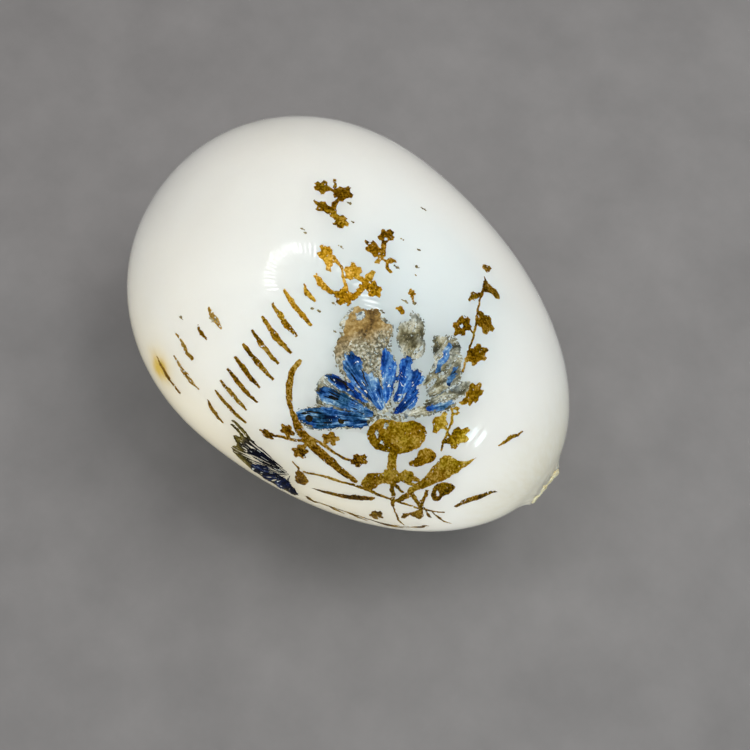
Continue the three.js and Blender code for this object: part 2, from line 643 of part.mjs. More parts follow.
// ---- Assembly ----
const tilt = THREE.MathUtils.degToRad(REST_TILT);
buildUpperSprigs();
buildFrieze();
buildFlower();
buildFoliage();
buildSideSprigs();
buildLowerFlower();
addPiece("neck_crust", geometryOf(solidOf(buildCrust())), filler);

// The tilted skin hangs lowest on its small-end side, which is part of an ellipsoid. The underside is
// cut flat with a block turned into the egg's own frame.
const hang = Math.hypot(MAX_RADIUS * Math.cos(tilt), SMALL_LENGTH * Math.sin(tilt));
const floorLevel = REST_FLAT_DEPTH - hang;
const underside = new THREE.BoxGeometry(4 * SMALL_LENGTH, 4 * SMALL_LENGTH, SMALL_LENGTH);
underside.translate(0, 0, floorLevel - SMALL_LENGTH / 2);
underside.rotateY(-tilt);
addPiece("glass_shell", geometryOf(buildShell().subtract(solidOf(underside))), opalGlass);

egg.rotation.y = tilt;
egg.updateMatrixWorld(true);
const box = new THREE.Box3().setFromObject(egg, true);
egg.position.set(-(box.min.x + box.max.x) / 2, -(box.min.y + box.max.y) / 2, -floorLevel);

const part = new THREE.Group();
part.add(egg);
export default part;
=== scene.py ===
"""Looks of a hand-blown opal glass Easter egg with gilt and enamel flowers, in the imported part's frame.

The glass, the filler on its broken rim and every film of gilding or enamel are rebuilt here in fine detail.
A film takes its outline from its own CAD solid: the outline is read back to a flat chart of the egg's skin,
roughened and worn there as hand-rubbed gilding and brushed paint are, and bent round the glass again.
Lengths are in millimetres until a mesh is made.
"""

import json
import math

import bpy
import numpy as np
from mathutils import Matrix, Vector
from mathutils.kdtree import KDTree

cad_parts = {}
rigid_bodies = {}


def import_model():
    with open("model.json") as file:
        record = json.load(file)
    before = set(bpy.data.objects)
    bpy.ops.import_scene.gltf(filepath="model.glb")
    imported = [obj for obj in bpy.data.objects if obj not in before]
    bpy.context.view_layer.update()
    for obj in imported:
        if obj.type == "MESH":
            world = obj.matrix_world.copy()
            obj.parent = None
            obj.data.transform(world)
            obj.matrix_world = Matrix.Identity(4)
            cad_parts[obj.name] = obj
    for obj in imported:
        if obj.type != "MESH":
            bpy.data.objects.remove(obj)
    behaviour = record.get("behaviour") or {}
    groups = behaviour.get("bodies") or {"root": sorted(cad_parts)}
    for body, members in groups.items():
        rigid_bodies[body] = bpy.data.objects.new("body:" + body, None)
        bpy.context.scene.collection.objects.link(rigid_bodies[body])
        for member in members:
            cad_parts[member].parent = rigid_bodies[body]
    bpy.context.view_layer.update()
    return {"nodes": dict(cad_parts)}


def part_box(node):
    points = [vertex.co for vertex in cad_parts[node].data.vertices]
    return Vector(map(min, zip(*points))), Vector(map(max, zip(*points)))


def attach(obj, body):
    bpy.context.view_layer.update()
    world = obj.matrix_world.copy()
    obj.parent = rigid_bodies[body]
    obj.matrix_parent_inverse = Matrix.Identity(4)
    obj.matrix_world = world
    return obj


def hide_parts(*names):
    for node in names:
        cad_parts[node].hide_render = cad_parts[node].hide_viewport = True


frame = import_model()

MM = 0.001

# ---- The egg, as in the CAD part ----
shell_low, shell_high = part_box("glass_shell")
RADIUS = (shell_high.y - shell_low.y) / 2 / MM
BLUNT_LENGTH = 43.4
SMALL_LENGTH = 64.0
BLUNT_POWER = 2.1
TILT = math.radians(6.8)
REST_FLAT_DEPTH = 0.26
WALL = 2.0
WALL_SAG = 0.4
NECK_ROOT_RADIUS = 8.2
NECK_RADIUS = 5.1
NECK_BEND_RADIUS = 6.0
NECK_END = 64.2
BLOW_HOLE_RADIUS = 1.6

HANG = math.hypot(RADIUS * math.cos(TILT), SMALL_LENGTH * math.sin(TILT))
CENTRE = np.array(
    [
        shell_high.x / MM - NECK_END * math.cos(TILT) - NECK_RADIUS * math.sin(TILT),
        (shell_low.y + shell_high.y) / 2 / MM,
        shell_low.z / MM + HANG - REST_FLAT_DEPTH,
    ]
)
TURN = np.array(
    [
        [math.cos(TILT), 0, math.sin(TILT)],
        [0, 1, 0],
        [-math.sin(TILT), 0, math.cos(TILT)],
    ]
)


def to_part(points):
    """From the egg's own frame, x along its axis from the widest circle, to the part's frame."""
    return points @ TURN.T + CENTRE


def from_part(points):
    return (points - CENTRE) @ TURN


def radius_at(x):
    """The skin's radius, the neck left out."""
    x = np.asarray(x, float)
    blunt = 1 - np.clip(-x / BLUNT_LENGTH, 0, 1) ** BLUNT_POWER
    small = 1 - np.clip(x / SMALL_LENGTH, 0, 1) ** 2
    return RADIUS * np.where(x < 0, blunt ** (1 / BLUNT_POWER), np.sqrt(small))


def slope_at(x):
    step = 0.01
    return (radius_at(x + step) - radius_at(x - step)) / (2 * step)


# From arc length over the skin, counted from the widest circle, to the position on the axis.
TABLE_SIZE = 8001
TABLE_ANGLES = np.linspace(-math.pi / 2, math.pi / 2, TABLE_SIZE)
TABLE_X = np.where(TABLE_ANGLES < 0, BLUNT_LENGTH, SMALL_LENGTH) * np.sin(TABLE_ANGLES)
TABLE_RADIUS = radius_at(TABLE_X)
TABLE_ARC = np.concatenate([[0], np.cumsum(np.hypot(np.diff(TABLE_X), np.diff(TABLE_RADIUS)))])
TABLE_ARC -= np.interp(0, TABLE_X, TABLE_ARC)


def skin(along, around, height):
    """Points of the egg's own frame for places on the chart, clear of the skin by height."""
    x = np.interp(along, TABLE_ARC, TABLE_X)
    slope = slope_at(x)
    rise = height / np.hypot(1, slope)
    reach = radius_at(x) + rise
    angle = around / RADIUS
    return np.stack([x - slope * rise, -reach * np.sin(angle), reach * np.cos(angle)], -1)


FOOT_ROUNDS = 12  # of closing in on the skin's nearest place


def chart(points):
    """Along, around and height for points of the egg's own frame."""
    x = points[:, 0]
    reach = np.hypot(points[:, 1], points[:, 2])
    foot = x.copy()
    for _ in range(FOOT_ROUNDS):
        slope = slope_at(foot)
        foot += ((x - foot) + (reach - radius_at(foot)) * slope) / (1 + slope**2)
    slope = slope_at(foot)
    height = ((foot - x) * slope + reach - radius_at(foot)) / np.hypot(1, slope)
    around = np.arctan2(-points[:, 1], points[:, 2]) * RADIUS
    return np.interp(foot, TABLE_X, TABLE_ARC), around, height


# ---- Seeded noise ----
OCTAVE_SHIFT = 17.3  # keeps the octaves of a pattern from lining up


def lattice(i, j, seed):
    """A repeatable value from -1 to 1 for each whole place, by an integer hash."""
    h = i.astype(np.int64) * 374761393 + j.astype(np.int64) * 668265263 + seed * 974634777
    h = ((h ^ (h >> 13)) * 1274126177) & 0xFFFFFFFF
    return ((h ^ (h >> 16)) & 0xFFFF) / 32767.5 - 1


def noise(x, y, seed):
    """Smooth noise from -1 to 1, with features about one unit across."""
    i, j = np.floor(x), np.floor(y)
    u, v = x - i, y - j
    u, v = u * u * (3 - 2 * u), v * v * (3 - 2 * v)
    low = lattice(i, j, seed) * (1 - u) + lattice(i + 1, j, seed) * u
    high = lattice(i, j + 1, seed) * (1 - u) + lattice(i + 1, j + 1, seed) * u
    return low * (1 - v) + high * v


def fractal(x, y, seed, octaves=3):
    """Octaves of smooth noise, each half the size and half the strength of the one before."""
    total, weight, size = 0, 0, 1.0
    for octave in range(octaves):
        total = total + size * noise(x / size + OCTAVE_SHIFT * octave, y / size, seed + octave)
        weight += size
        size /= 2
    return total / weight


# ---- Meshes ----
def make_piece(name, points, faces, material, attributes=None):
    """A smooth mesh object from points of the egg's own frame, riding on the root body."""
    placed = to_part(points)
    placed[:, 2] = np.maximum(placed[:, 2], shell_low.z / MM)
    mesh = bpy.data.meshes.new(name)
    mesh.from_pydata((placed * MM).tolist(), [], faces)
    for key, values in (attributes or {}).items():
        layer = mesh.attributes.new(key, "FLOAT", "POINT")
        layer.data.foreach_set("value", np.asarray(values, np.float32))
    mesh.materials.append(material)
    mesh.polygons.foreach_set("use_smooth", [True] * len(mesh.polygons))
    piece = bpy.data.objects.new(name, mesh)
    bpy.context.scene.collection.objects.link(piece)
    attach(piece, "root")
    return piece


# ---- Reading a film's outline back from its CAD solid ----
WELD = 0.01  # points of a film's solid that are closer than this are one point
DISTANCE_REACH = 2.5  # distances from an outline are worked out no further than this
MOST_SHARE = 0.97  # how near a cut may come to the outer one of its two grid points


def outline_of(node):
    """The film's outer face on the chart: its rim as edges (n, 2, 2) and its triangles (n, 3, 2)."""
    mesh = frame["nodes"][node].data
    co = np.zeros(len(mesh.vertices) * 3)
    mesh.vertices.foreach_get("co", co)
    along, around, height = chart(from_part(co.reshape(-1, 3) / MM))
    mesh.calc_loop_triangles()
    triangles = np.zeros(len(mesh.loop_triangles) * 3, int)
    mesh.loop_triangles.foreach_get("vertices", triangles)
    triangles = triangles.reshape(-1, 3)
    middle = (height.min() + height.max()) / 2
    outer = triangles[(height[triangles] > middle).all(1)]
    used = np.unique(outer)
    tree = KDTree(len(used))
    for index in used:
        tree.insert((along[index], around[index], 0), int(index))
    tree.balance()
    names = np.arange(len(along))
    for index in used:
        names[index] = min(found[1] for found in tree.find_range((along[index], around[index], 0), WELD))
    corner = names[outer]
    edges = set()
    for i, j in ((0, 1), (1, 2), (2, 0)):
        edges.update(zip(corner[:, i].tolist(), corner[:, j].tolist()))
    rim = sorted((a, b) for a, b in edges if (b, a) not in edges and a != b)
    places = np.stack([along, around], -1)
    return places[np.array(rim)], places[outer]


def signed_distance(outline, xs, ys):
    """Distance into the outline at each place of a grid, negative outside it."""
    edges, triangles = outline
    reach = DISTANCE_REACH
    gap = np.full((len(ys), len(xs)), reach)
    for (x0, y0), (x1, y1) in edges:
        i = slice(*np.searchsorted(xs, [min(x0, x1) - reach, max(x0, x1) + reach]))
        j = slice(*np.searchsorted(ys, [min(y0, y1) - reach, max(y0, y1) + reach]))
        px, py = xs[i][None, :] - x0, ys[j][:, None] - y0
        dx, dy = x1 - x0, y1 - y0
        t = np.clip((px * dx + py * dy) / (dx * dx + dy * dy + 1e-12), 0, 1)
        gap[j, i] = np.minimum(gap[j, i], np.hypot(px - t * dx, py - t * dy))
    inside = np.zeros(gap.shape, bool)
    for corners in triangles:
        i = slice(*np.searchsorted(xs, [corners[:, 0].min(), corners[:, 0].max()]))
        j = slice(*np.searchsorted(ys, [corners[:, 1].min(), corners[:, 1].max()]))
        sides = []
        for (x0, y0), (x1, y1) in zip(corners, np.roll(corners, -1, 0)):
            sides.append((x1 - x0) * (ys[j][:, None] - y0) - (y1 - y0) * (xs[i][None, :] - x0))
        sides = np.array(sides)
        inside[j, i] |= (sides >= 0).all(0) | (sides <= 0).all(0)
    return np.where(inside, gap, -gap)


def sample(grid, xs, ys, x, y):
    """The grid's value at any place, between its points."""
    i = np.clip((x - xs[0]) / (xs[1] - xs[0]), 0, len(xs) - 1.001)
    j = np.clip((y - ys[0]) / (ys[1] - ys[0]), 0, len(ys) - 1.001)
    i0, j0 = i.astype(int), j.astype(int)
    u, v = i - i0, j - j0
    low = grid[j0, i0] * (1 - u) + grid[j0, i0 + 1] * u
    high = grid[j0 + 1, i0] * (1 - u) + grid[j0 + 1, i0 + 1] * u
    return low * (1 - v) + high * v


def cut_out(field):
    """Triangles of a grid where field is above 0, cut along its zero line.

    Returns (parents, share, faces, cut): vertex k lies between the two grid points parents[k], by
    share[k] of the way, and cut[k] says whether it is on the zero line.
    """
    rows, columns = field.shape
    ids = np.arange(rows * columns).reshape(rows, columns)
    a, b, c, d = ids[:-1, :-1], ids[:-1, 1:], ids[1:, 1:], ids[1:, :-1]
    even = (np.add.outer(np.arange(rows - 1), np.arange(columns - 1)) % 2 == 0).ravel()
    a, b, c, d = (q.ravel() for q in (a, b, c, d))
    first = np.where(even[:, None], np.stack([a, b, c], -1), np.stack([a, b, d], -1))
    second = np.where(even[:, None], np.stack([a, c, d], -1), np.stack([b, c, d], -1))
    triangles = np.concatenate([first, second])
    value = field.ravel()
    within = value[triangles] > 0
    count = within.sum(1)
    whole = triangles[count == 3]

    def odd_first(chosen, mask):
        lead = mask.argmax(1)
        order = (lead[:, None] + np.arange(3)) % 3
        return np.take_along_axis(chosen, order, 1)

    one = odd_first(triangles[count == 1], within[count == 1])
    two = odd_first(triangles[count == 2], ~within[count == 2])
    size = rows * columns
    key = lambda inner, outer: -(inner * size + outer) - 1
    pieces = [
        whole,
        np.stack([one[:, 0], key(one[:, 0], one[:, 1]), key(one[:, 0], one[:, 2])], -1),
        np.stack([two[:, 1], two[:, 2], key(two[:, 2], two[:, 0])], -1),
        np.stack([two[:, 1], key(two[:, 2], two[:, 0]), key(two[:, 1], two[:, 0])], -1),
    ]
    faces = np.concatenate(pieces)
    used, faces = np.unique(faces, return_inverse=True)
    faces = faces.reshape(-1, 3)
    cut = used < 0
    inner = np.where(cut, (-used - 1) // size, used)
    outer = np.where(cut, (-used - 1) % size, used)
    share = np.zeros(len(used))
    share[cut] = value[inner[cut]] / (value[inner[cut]] - value[outer[cut]])
    return np.stack([inner, outer], -1), np.clip(share, 0, MOST_SHARE), faces, cut


# ---- Building a film ----
GRID = 0.11  # spacing of a film's grid
MARGIN = 1.2  # of grid round a film's outline, where its ragged edge may reach
FILM_FOOT = -0.03  # a film's unseen face is just inside the glass
EDGE_SWELL = 0.18  # a film thickens from its edge over about this distance


def sheet_grid(outlines, margin=MARGIN):
    """Grid lines round some outlines and the distance into the nearest of them."""
    corners = np.concatenate([edges.reshape(-1, 2) for edges, _ in outlines])
    low, high = corners.min(0) - margin, corners.max(0) + margin
    xs = np.arange(low[0], high[0], GRID)
    ys = np.arange(low[1], high[1], GRID)
    return xs, ys, np.max([signed_distance(outline, xs, ys) for outline in outlines], axis=0)


def film_piece(node, material, recipe, seed):
    """Builds one film from its CAD solid's outline. recipe(sheet) gives its wear and its colours."""
    grid = sheet_grid([outline_of(node)])
    piece = film_sheet(node + "_film", grid, material, recipe, seed)
    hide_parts(node)


def film_sheet(name, grid, material, recipe, seed):
    """Builds a film on a grid of the chart, where the recipe's field is above 0."""
    xs, ys, distance = grid
    x, y = np.meshgrid(xs, ys)
    squash = radius_at(np.interp(xs, TABLE_ARC, TABLE_X)) / RADIUS
    sheet = Sheet(x, y, y * squash[None, :], xs, ys, distance, seed)
    recipe(sheet)
    field = sheet.field
    field[0, :] = field[-1, :] = field[:, 0] = field[:, -1] = -1
    parents, share, faces, cut = cut_out(field)

    def spread(values):
        flat = values.ravel()
        return flat[parents[:, 0]] * (1 - share) + flat[parents[:, 1]] * share

    along, around = spread(x), spread(y)
    depth = np.clip(spread(np.maximum(field, 0)), 0, None)
    swell = 1 - np.exp(-depth / EDGE_SWELL)
    top = sheet.edge_height + sheet.thickness * swell * (1 + sheet.relief_share * spread(sheet.relief))
    top[cut] = sheet.edge_height
    upper = skin(along, around, top)
    inner = np.where(~cut)[0]
    below = np.arange(len(along))
    below[inner] = len(along) + np.arange(len(inner))
    lower = skin(along[inner], around[inner], np.full(len(inner), FILM_FOOT))
    points = np.concatenate([upper, lower])
    # The chart is left-handed on the egg, so the upper faces are turned round.
    faces = np.concatenate([faces[:, ::-1], below[faces]])
    attributes = {}
    for key, values in (("shade", sheet.shade), ("hue", sheet.hue)):
        upper_values = spread(values)
        attributes[key] = np.concatenate([upper_values, upper_values[inner]])
    return make_piece(name, points, faces.tolist(), MATERIALS[material], attributes)


# Each use of noise on a sheet draws its own pattern, by one of these numbers.
WARP_ALONG, WARP_AROUND, STREAKS, ROUGH, STROKES, HAIRS, FINE_ROUGH, SPECKS = 1, 2, 3, 5, 5, 7, 8, 9
BROAD, FINE, HUE, PATCHY, CHIPS, BRUSH, SPOTS, BEND = 40, 50, 60, 70, 71, 73, 75, 80
WARP_OFFSET = 31.7  # keeps the two ways of a warp from moving together


class Sheet:
    """A film while it is still flat: its grid, its outline and what a recipe sets.

    x and y are places on the chart. even is y in true lengths, which are shorter towards the egg's ends.
    """

    def __init__(self, x, y, even, xs, ys, distance, seed):
        self.x, self.y, self.even = x, y, even
        self.xs, self.ys = xs, ys
        self.distance = distance
        self.seed = seed
        self.field = distance.copy()
        self.shade = np.full(x.shape, 0.5)
        self.hue = np.zeros(x.shape)
        self.relief = np.zeros(x.shape)
        self.relief_share = 0.4
        self.thickness = 0.04
        self.edge_height = 0.004

    def grain(self, size, pattern, octaves=3, offset=0.0):
        return fractal(self.x / size + offset, self.even / size, self.seed + pattern, octaves)

    def warp(self, reach, size):
        """Moves the outline about by up to reach, keeping thin strokes whole."""
        dx = reach * self.grain(size, WARP_ALONG)
        dy = reach * self.grain(size, WARP_AROUND, offset=WARP_OFFSET)
        self.field = sample(self.distance, self.xs, self.ys, self.x + dx, self.y + dy)

    def rough(self, reach, size, pattern=ROUGH):
        """Makes the edge uneven, by up to reach."""
        self.field = self.field + reach * self.grain(size, pattern, 2)

    def holes(self, size, level):
        """Wears through where noise passes level, with a soft spread of sizes."""
        self.field = np.minimum(self.field, (level - self.grain(size, SPECKS)) * size)

    def polar(self, heart):
        """Distance and direction from a flower's heart."""
        dx, dy = self.x - heart[0], self.y - heart[1]
        return np.hypot(dx, dy), np.arctan2(dy, dx)


# ---- Node helpers ----
def new_material(name):
    material = bpy.data.materials.new(name)
    material.use_nodes = True
    tree = material.node_tree
    return material, tree, tree.nodes["Principled BSDF"]


def add(tree, kind, **settings):
    node = tree.nodes.new(kind)
    for key, value in settings.items():
        setattr(node, key, value)
    return node


def noise_node(tree, scale, detail, roughness, distortion=0.0):
    """Noise in the part's own frame, so that it stays put on the object."""
    place = add(tree, "ShaderNodeTexCoord")
    node = add(tree, "ShaderNodeTexNoise")
    tree.links.new(place.outputs["Object"], node.inputs["Vector"])
    node.inputs["Scale"].default_value = scale
    node.inputs["Detail"].default_value = detail
    node.inputs["Roughness"].default_value = roughness
    node.inputs["Distortion"].default_value = distortion
    return node.outputs["Fac"]


def ramp(tree, value, *stops):
    node = add(tree, "ShaderNodeValToRGB")
    while len(node.color_ramp.elements) < len(stops):
        node.color_ramp.elements.new(0.5)
    for element, (place, colour) in zip(node.color_ramp.elements, stops):
        element.position = place
        element.color = (*colour, 1)
    tree.links.new(value, node.inputs["Fac"])
    return node.outputs["Color"]


def combine(tree, operation, first, second):
    node = add(tree, "ShaderNodeMath", operation=operation)
    for socket, value in zip(node.inputs, (first, second)):
        if isinstance(value, (int, float)):
            socket.default_value = value
        else:
            tree.links.new(value, socket)
    return node.outputs[0]


def spread_to(tree, value, low, high):
    """Maps 0..1 to low..high."""
    return combine(tree, "ADD", combine(tree, "MULTIPLY", value, high - low), low)


def blend(tree, factor, first, second):
    """Mixes the colour first with the plain or linked colour second, by a linked factor."""
    node = add(tree, "ShaderNodeMix", data_type="RGBA")
    tree.links.new(factor, node.inputs[0])
    tree.links.new(first, node.inputs[6])
    if isinstance(second, tuple):
        node.inputs[7].default_value = (*second, 1)
    else:
        tree.links.new(second, node.inputs[7])
    return node.outputs[2]


def bump(tree, shader, height, distance, strength):
    node = add(tree, "ShaderNodeBump")
    node.inputs["Distance"].default_value = distance
    node.inputs["Strength"].default_value = strength
    tree.links.new(height, node.inputs["Height"])
    tree.links.new(node.outputs["Normal"], shader.inputs["Normal"])


def attribute(tree, name):
    return add(tree, "ShaderNodeAttribute", attribute_name=name).outputs["Fac"]


def film_material(name, cool, warm, metallic, specular, roughness, grain_scale):
    """A film's colour runs from dark to light with its shade, and from cool to warm with its hue."""
    material, tree, shader = new_material(name)
    grain = noise_node(tree, grain_scale, detail=4, roughness=0.6)
    shade = combine(tree, "ADD", attribute(tree, "shade"), spread_to(tree, grain, -0.18, 0.18))
    colour = blend(tree, attribute(tree, "hue"), ramp(tree, shade, *cool), ramp(tree, shade, *warm))
    tree.links.new(colour, shader.inputs["Base Color"])
    patches = noise_node(tree, grain_scale / 3, detail=3, roughness=0.55)
    tree.links.new(spread_to(tree, patches, *roughness), shader.inputs["Roughness"])
    shader.inputs["Metallic"].default_value = metallic
    shader.inputs["Specular IOR Level"].default_value = specular
    bump(tree, shader, grain, distance=0.03 * MM, strength=0.6)
    return material


# ---- Materials ----
def opal_glass():
    """White opal glass: cooler where it is thin and creamier elsewhere, with faint clouds and stains. Its
    colour also holds painted light: a warm painted bounce on the near lower side, painted brightening on
    the ends and the far side, and painted shade inside the blow hole.
    """
    cream, white, blueish = (0.845, 0.83, 0.76), (0.835, 0.86, 0.83), (0.77, 0.85, 0.86)
    pale, warm, grey = (0.955, 0.945, 0.885), (0.82, 0.74, 0.54), (0.62, 0.64, 0.62)
    yellow, painted_hollow_shade = (0.72, 0.50, 0.08), (0.10, 0.09, 0.075)
    material, tree, shader = new_material("opal_glass")
    cloud = noise_node(tree, 45, detail=4, roughness=0.5, distortion=0.6)
    coolness = combine(tree, "ADD", attribute(tree, "bloom"), spread_to(tree, cloud, -0.22, 0.22))
    body = ramp(tree, coolness, (0.05, cream), (0.5, white), (0.95, blueish))
    # Painted light: pale brightens the glass towards both ends and round the far side.
    body = blend(tree, attribute(tree, "pale"), body, pale)
    # Painted light: a warm bounce tone on the near lower side, which also carries the real yellow stain by
    # the rim.
    warm_bounce_and_rim_stain = combine(tree, "MULTIPLY", attribute(tree, "warm_bounce_and_rim_stain"), spread_to(tree, cloud, 0.6, 1.2))
    body = blend(tree, warm_bounce_and_rim_stain, body, warm)
    dust = noise_node(tree, 240, detail=4, roughness=0.6)
    body = blend(tree, spread_to(tree, dust, 0.0, 0.07), body, grey)
    body = blend(tree, attribute(tree, "stain"), body, yellow)
    # Painted shade: the inside of the blow hole darkens towards its closed end.
    body = blend(tree, attribute(tree, "hole"), body, painted_hollow_shade)
    tree.links.new(body, shader.inputs["Base Color"])
    smears = noise_node(tree, 60, detail=5, roughness=0.6)
    tree.links.new(spread_to(tree, smears, 0.008, 0.03), shader.inputs["Roughness"])
    shader.inputs["IOR"].default_value = 1.5
    shader.inputs["Subsurface Weight"].default_value = 0.9
    shader.inputs["Subsurface Radius"].default_value = (1.0, 1.0, 1.0)
    shader.inputs["Subsurface Scale"].default_value = 42 * MM
    waves = noise_node(tree, 35, detail=2, roughness=0.4)
    bump(tree, shader, waves, distance=0.4 * MM, strength=0.12)
    return material


def rim_filler():
    """Chalky pale yellow filler, browner in its hollows."""
    brown, yellow, chalk = (0.58, 0.46, 0.20), (0.80, 0.72, 0.44), (0.90, 0.86, 0.70)
    material, tree, shader = new_material("rim_filler")
    lumps = noise_node(tree, 900, detail=5, roughness=0.6)
    colour = ramp(tree, lumps, (0.28, brown), (0.46, yellow), (0.7, chalk))
    tree.links.new(colour, shader.inputs["Base Color"])
    tree.links.new(spread_to(tree, lumps, 0.7, 0.95), shader.inputs["Roughness"])
    bump(tree, shader, lumps, distance=0.3 * MM, strength=0.8)
    return material


# Each film material's looks. A colour scale is a list of (shade, colour), dark to light.
FILM_LOOKS = {
    "gilt": dict(
        cool=[
            (0.05, (0.036, 0.020, 0.0003)), (0.35, (0.20, 0.105, 0.0006)),
            (0.6, (0.45, 0.265, 0.004)), (0.9, (0.80, 0.56, 0.06)),
        ],
        warm=[
            (0.05, (0.055, 0.024, 0.0004)), (0.35, (0.28, 0.125, 0.001)),
            (0.6, (0.57, 0.30, 0.014)), (0.9, (0.86, 0.58, 0.15)),
        ],
        metallic=0.85, specular=0.05, roughness=(0.38, 0.62), grain_scale=2600,
    ),
    "worn_gilt": dict(
        cool=[
            (0.05, (0.06, 0.055, 0.035)), (0.35, (0.20, 0.18, 0.11)),
            (0.6, (0.36, 0.34, 0.24)), (0.9, (0.62, 0.60, 0.50)),
        ],
        warm=[
            (0.05, (0.05, 0.025, 0.004)), (0.35, (0.18, 0.105, 0.024)),
            (0.6, (0.32, 0.20, 0.055)), (0.9, (0.54, 0.40, 0.18)),
        ],
        metallic=0.2, specular=0.2, roughness=(0.4, 0.7), grain_scale=3200,
    ),
    "smudged_gilt": dict(
        cool=[
            (0.05, (0.012, 0.025, 0.04)), (0.35, (0.07, 0.12, 0.17)),
            (0.6, (0.22, 0.28, 0.31)), (0.9, (0.62, 0.67, 0.66)),
        ],
        warm=[
            (0.05, (0.045, 0.038, 0.014)), (0.35, (0.17, 0.15, 0.075)),
            (0.6, (0.34, 0.32, 0.21)), (0.9, (0.64, 0.63, 0.51)),
        ],
        metallic=0.1, specular=0.2, roughness=(0.4, 0.7), grain_scale=3200,
    ),
    "blue_enamel": dict(
        cool=[
            (0.0, (0.001, 0.004, 0.010)), (0.3, (0.008, 0.05, 0.11)),
            (0.55, (0.06, 0.16, 0.30)), (0.78, (0.20, 0.34, 0.46)),
            (1.0, (0.60, 0.68, 0.70)),
        ],
        warm=[
            (0.0, (0.0005, 0.006, 0.05)), (0.3, (0.001, 0.025, 0.19)),
            (0.55, (0.012, 0.09, 0.38)), (0.78, (0.08, 0.24, 0.55)),
            (1.0, (0.50, 0.64, 0.74)),
        ],
        metallic=0.0, specular=0.06, roughness=(0.3, 0.55), grain_scale=2200,
    ),
    "navy_enamel": dict(
        cool=[
            (0.0, (0.0004, 0.0006, 0.002)), (0.4, (0.0008, 0.0022, 0.012)),
            (0.7, (0.005, 0.018, 0.085)), (1.0, (0.26, 0.29, 0.30)),
        ],
        warm=[
            (0.0, (0.0012, 0.0012, 0.0004)), (0.4, (0.016, 0.013, 0.002)),
            (0.7, (0.10, 0.075, 0.010)), (1.0, (0.30, 0.27, 0.12)),
        ],
        metallic=0.0, specular=0.02, roughness=(0.3, 0.5), grain_scale=2200,
    ),
    "fleck_paint": dict(
        cool=[
            (0.0, (0.0015, 0.002, 0.003)), (0.35, (0.008, 0.018, 0.03)),
            (0.6, (0.30, 0.36, 0.38)), (1.0, (0.78, 0.82, 0.80)),
        ],
        warm=[
            (0.0, (0.02, 0.014, 0.001)), (0.35, (0.09, 0.06, 0.006)),
            (0.6, (0.36, 0.30, 0.14)), (1.0, (0.80, 0.78, 0.66)),
        ],
        metallic=0.0, specular=0.05, roughness=(0.35, 0.6), grain_scale=2200,
    ),
}
MATERIALS = {name: film_material(name, **looks) for name, looks in FILM_LOOKS.items()}


# ---- How each kind of film is worn and coloured ----
# A recipe sets a sheet's field, which is above 0 where there is film, its shade, hue and relief. Places,
# sizes and reaches are millimetres, and its other numbers say how strongly each pattern shows.
def gilding(shade=0.5, hue=0.3, wear=0.62, speckle=0.42, warp=0.48, ragged=0.65):
    """Rubbed gilding: ragged, pinholed near its edges, mottled and a little brighter where it is thin."""

    def recipe(sheet):
        sheet.warp(reach=warp, size=1.7)
        sheet.rough(reach=0.16 * ragged, size=0.6)
        sheet.rough(reach=0.07, size=0.32, pattern=FINE_ROUGH)
        edge = np.clip(1 - sheet.distance / 0.7, 0, 1)
        sheet.holes(size=0.45, level=wear - 0.14 * edge)
        broad = sheet.grain(2.6, BROAD, 2)
        fine = sheet.grain(0.3, FINE, 2)
        rim = np.exp(-np.clip(sheet.field, 0, None) / 0.16)
        sheet.shade = shade - 0.03 + 0.32 * broad + speckle * fine + 0.05 * rim
        sheet.hue = np.clip(hue + 0.1 + 0.7 * sheet.grain(2.2, HUE, 2) + 0.3 * rim, 0, 1)
        sheet.relief = fine

    return recipe


def cap_gilding(sheet):
    """The bloom's cap: lumps of whole gilding at the top, rubbed to a grey speckle lower down."""
    sheet.warp(reach=0.8, size=2.2)
    sheet.rough(reach=0.4, size=0.8)
    worn_along = (sheet.x - 16) * 0.16
    worn_around = (sheet.y - 9) * 0.10
    down = np.clip(worn_along + worn_around + 0.35 * sheet.grain(2.0, PATCHY, 2), 0, 1)
    sheet.holes(size=0.3, level=0.75 - 0.45 * down)
    lumps = sheet.grain(1.9, BROAD, 2)
    fine = sheet.grain(0.38, FINE, 3)
    sheet.shade = 0.5 + 0.36 * lumps * (1 - down) + (0.34 + 0.46 * down) * fine
    sheet.hue = np.clip(1.1 - 1.2 * down, 0, 1)
    sheet.relief = fine
    sheet.thickness = 0.03


# Where the brush strokes of each flower meet, on the chart.
FLOWER_HEART = (31.8, 22.0)
BUD_HEART = (21.5, 50.5)


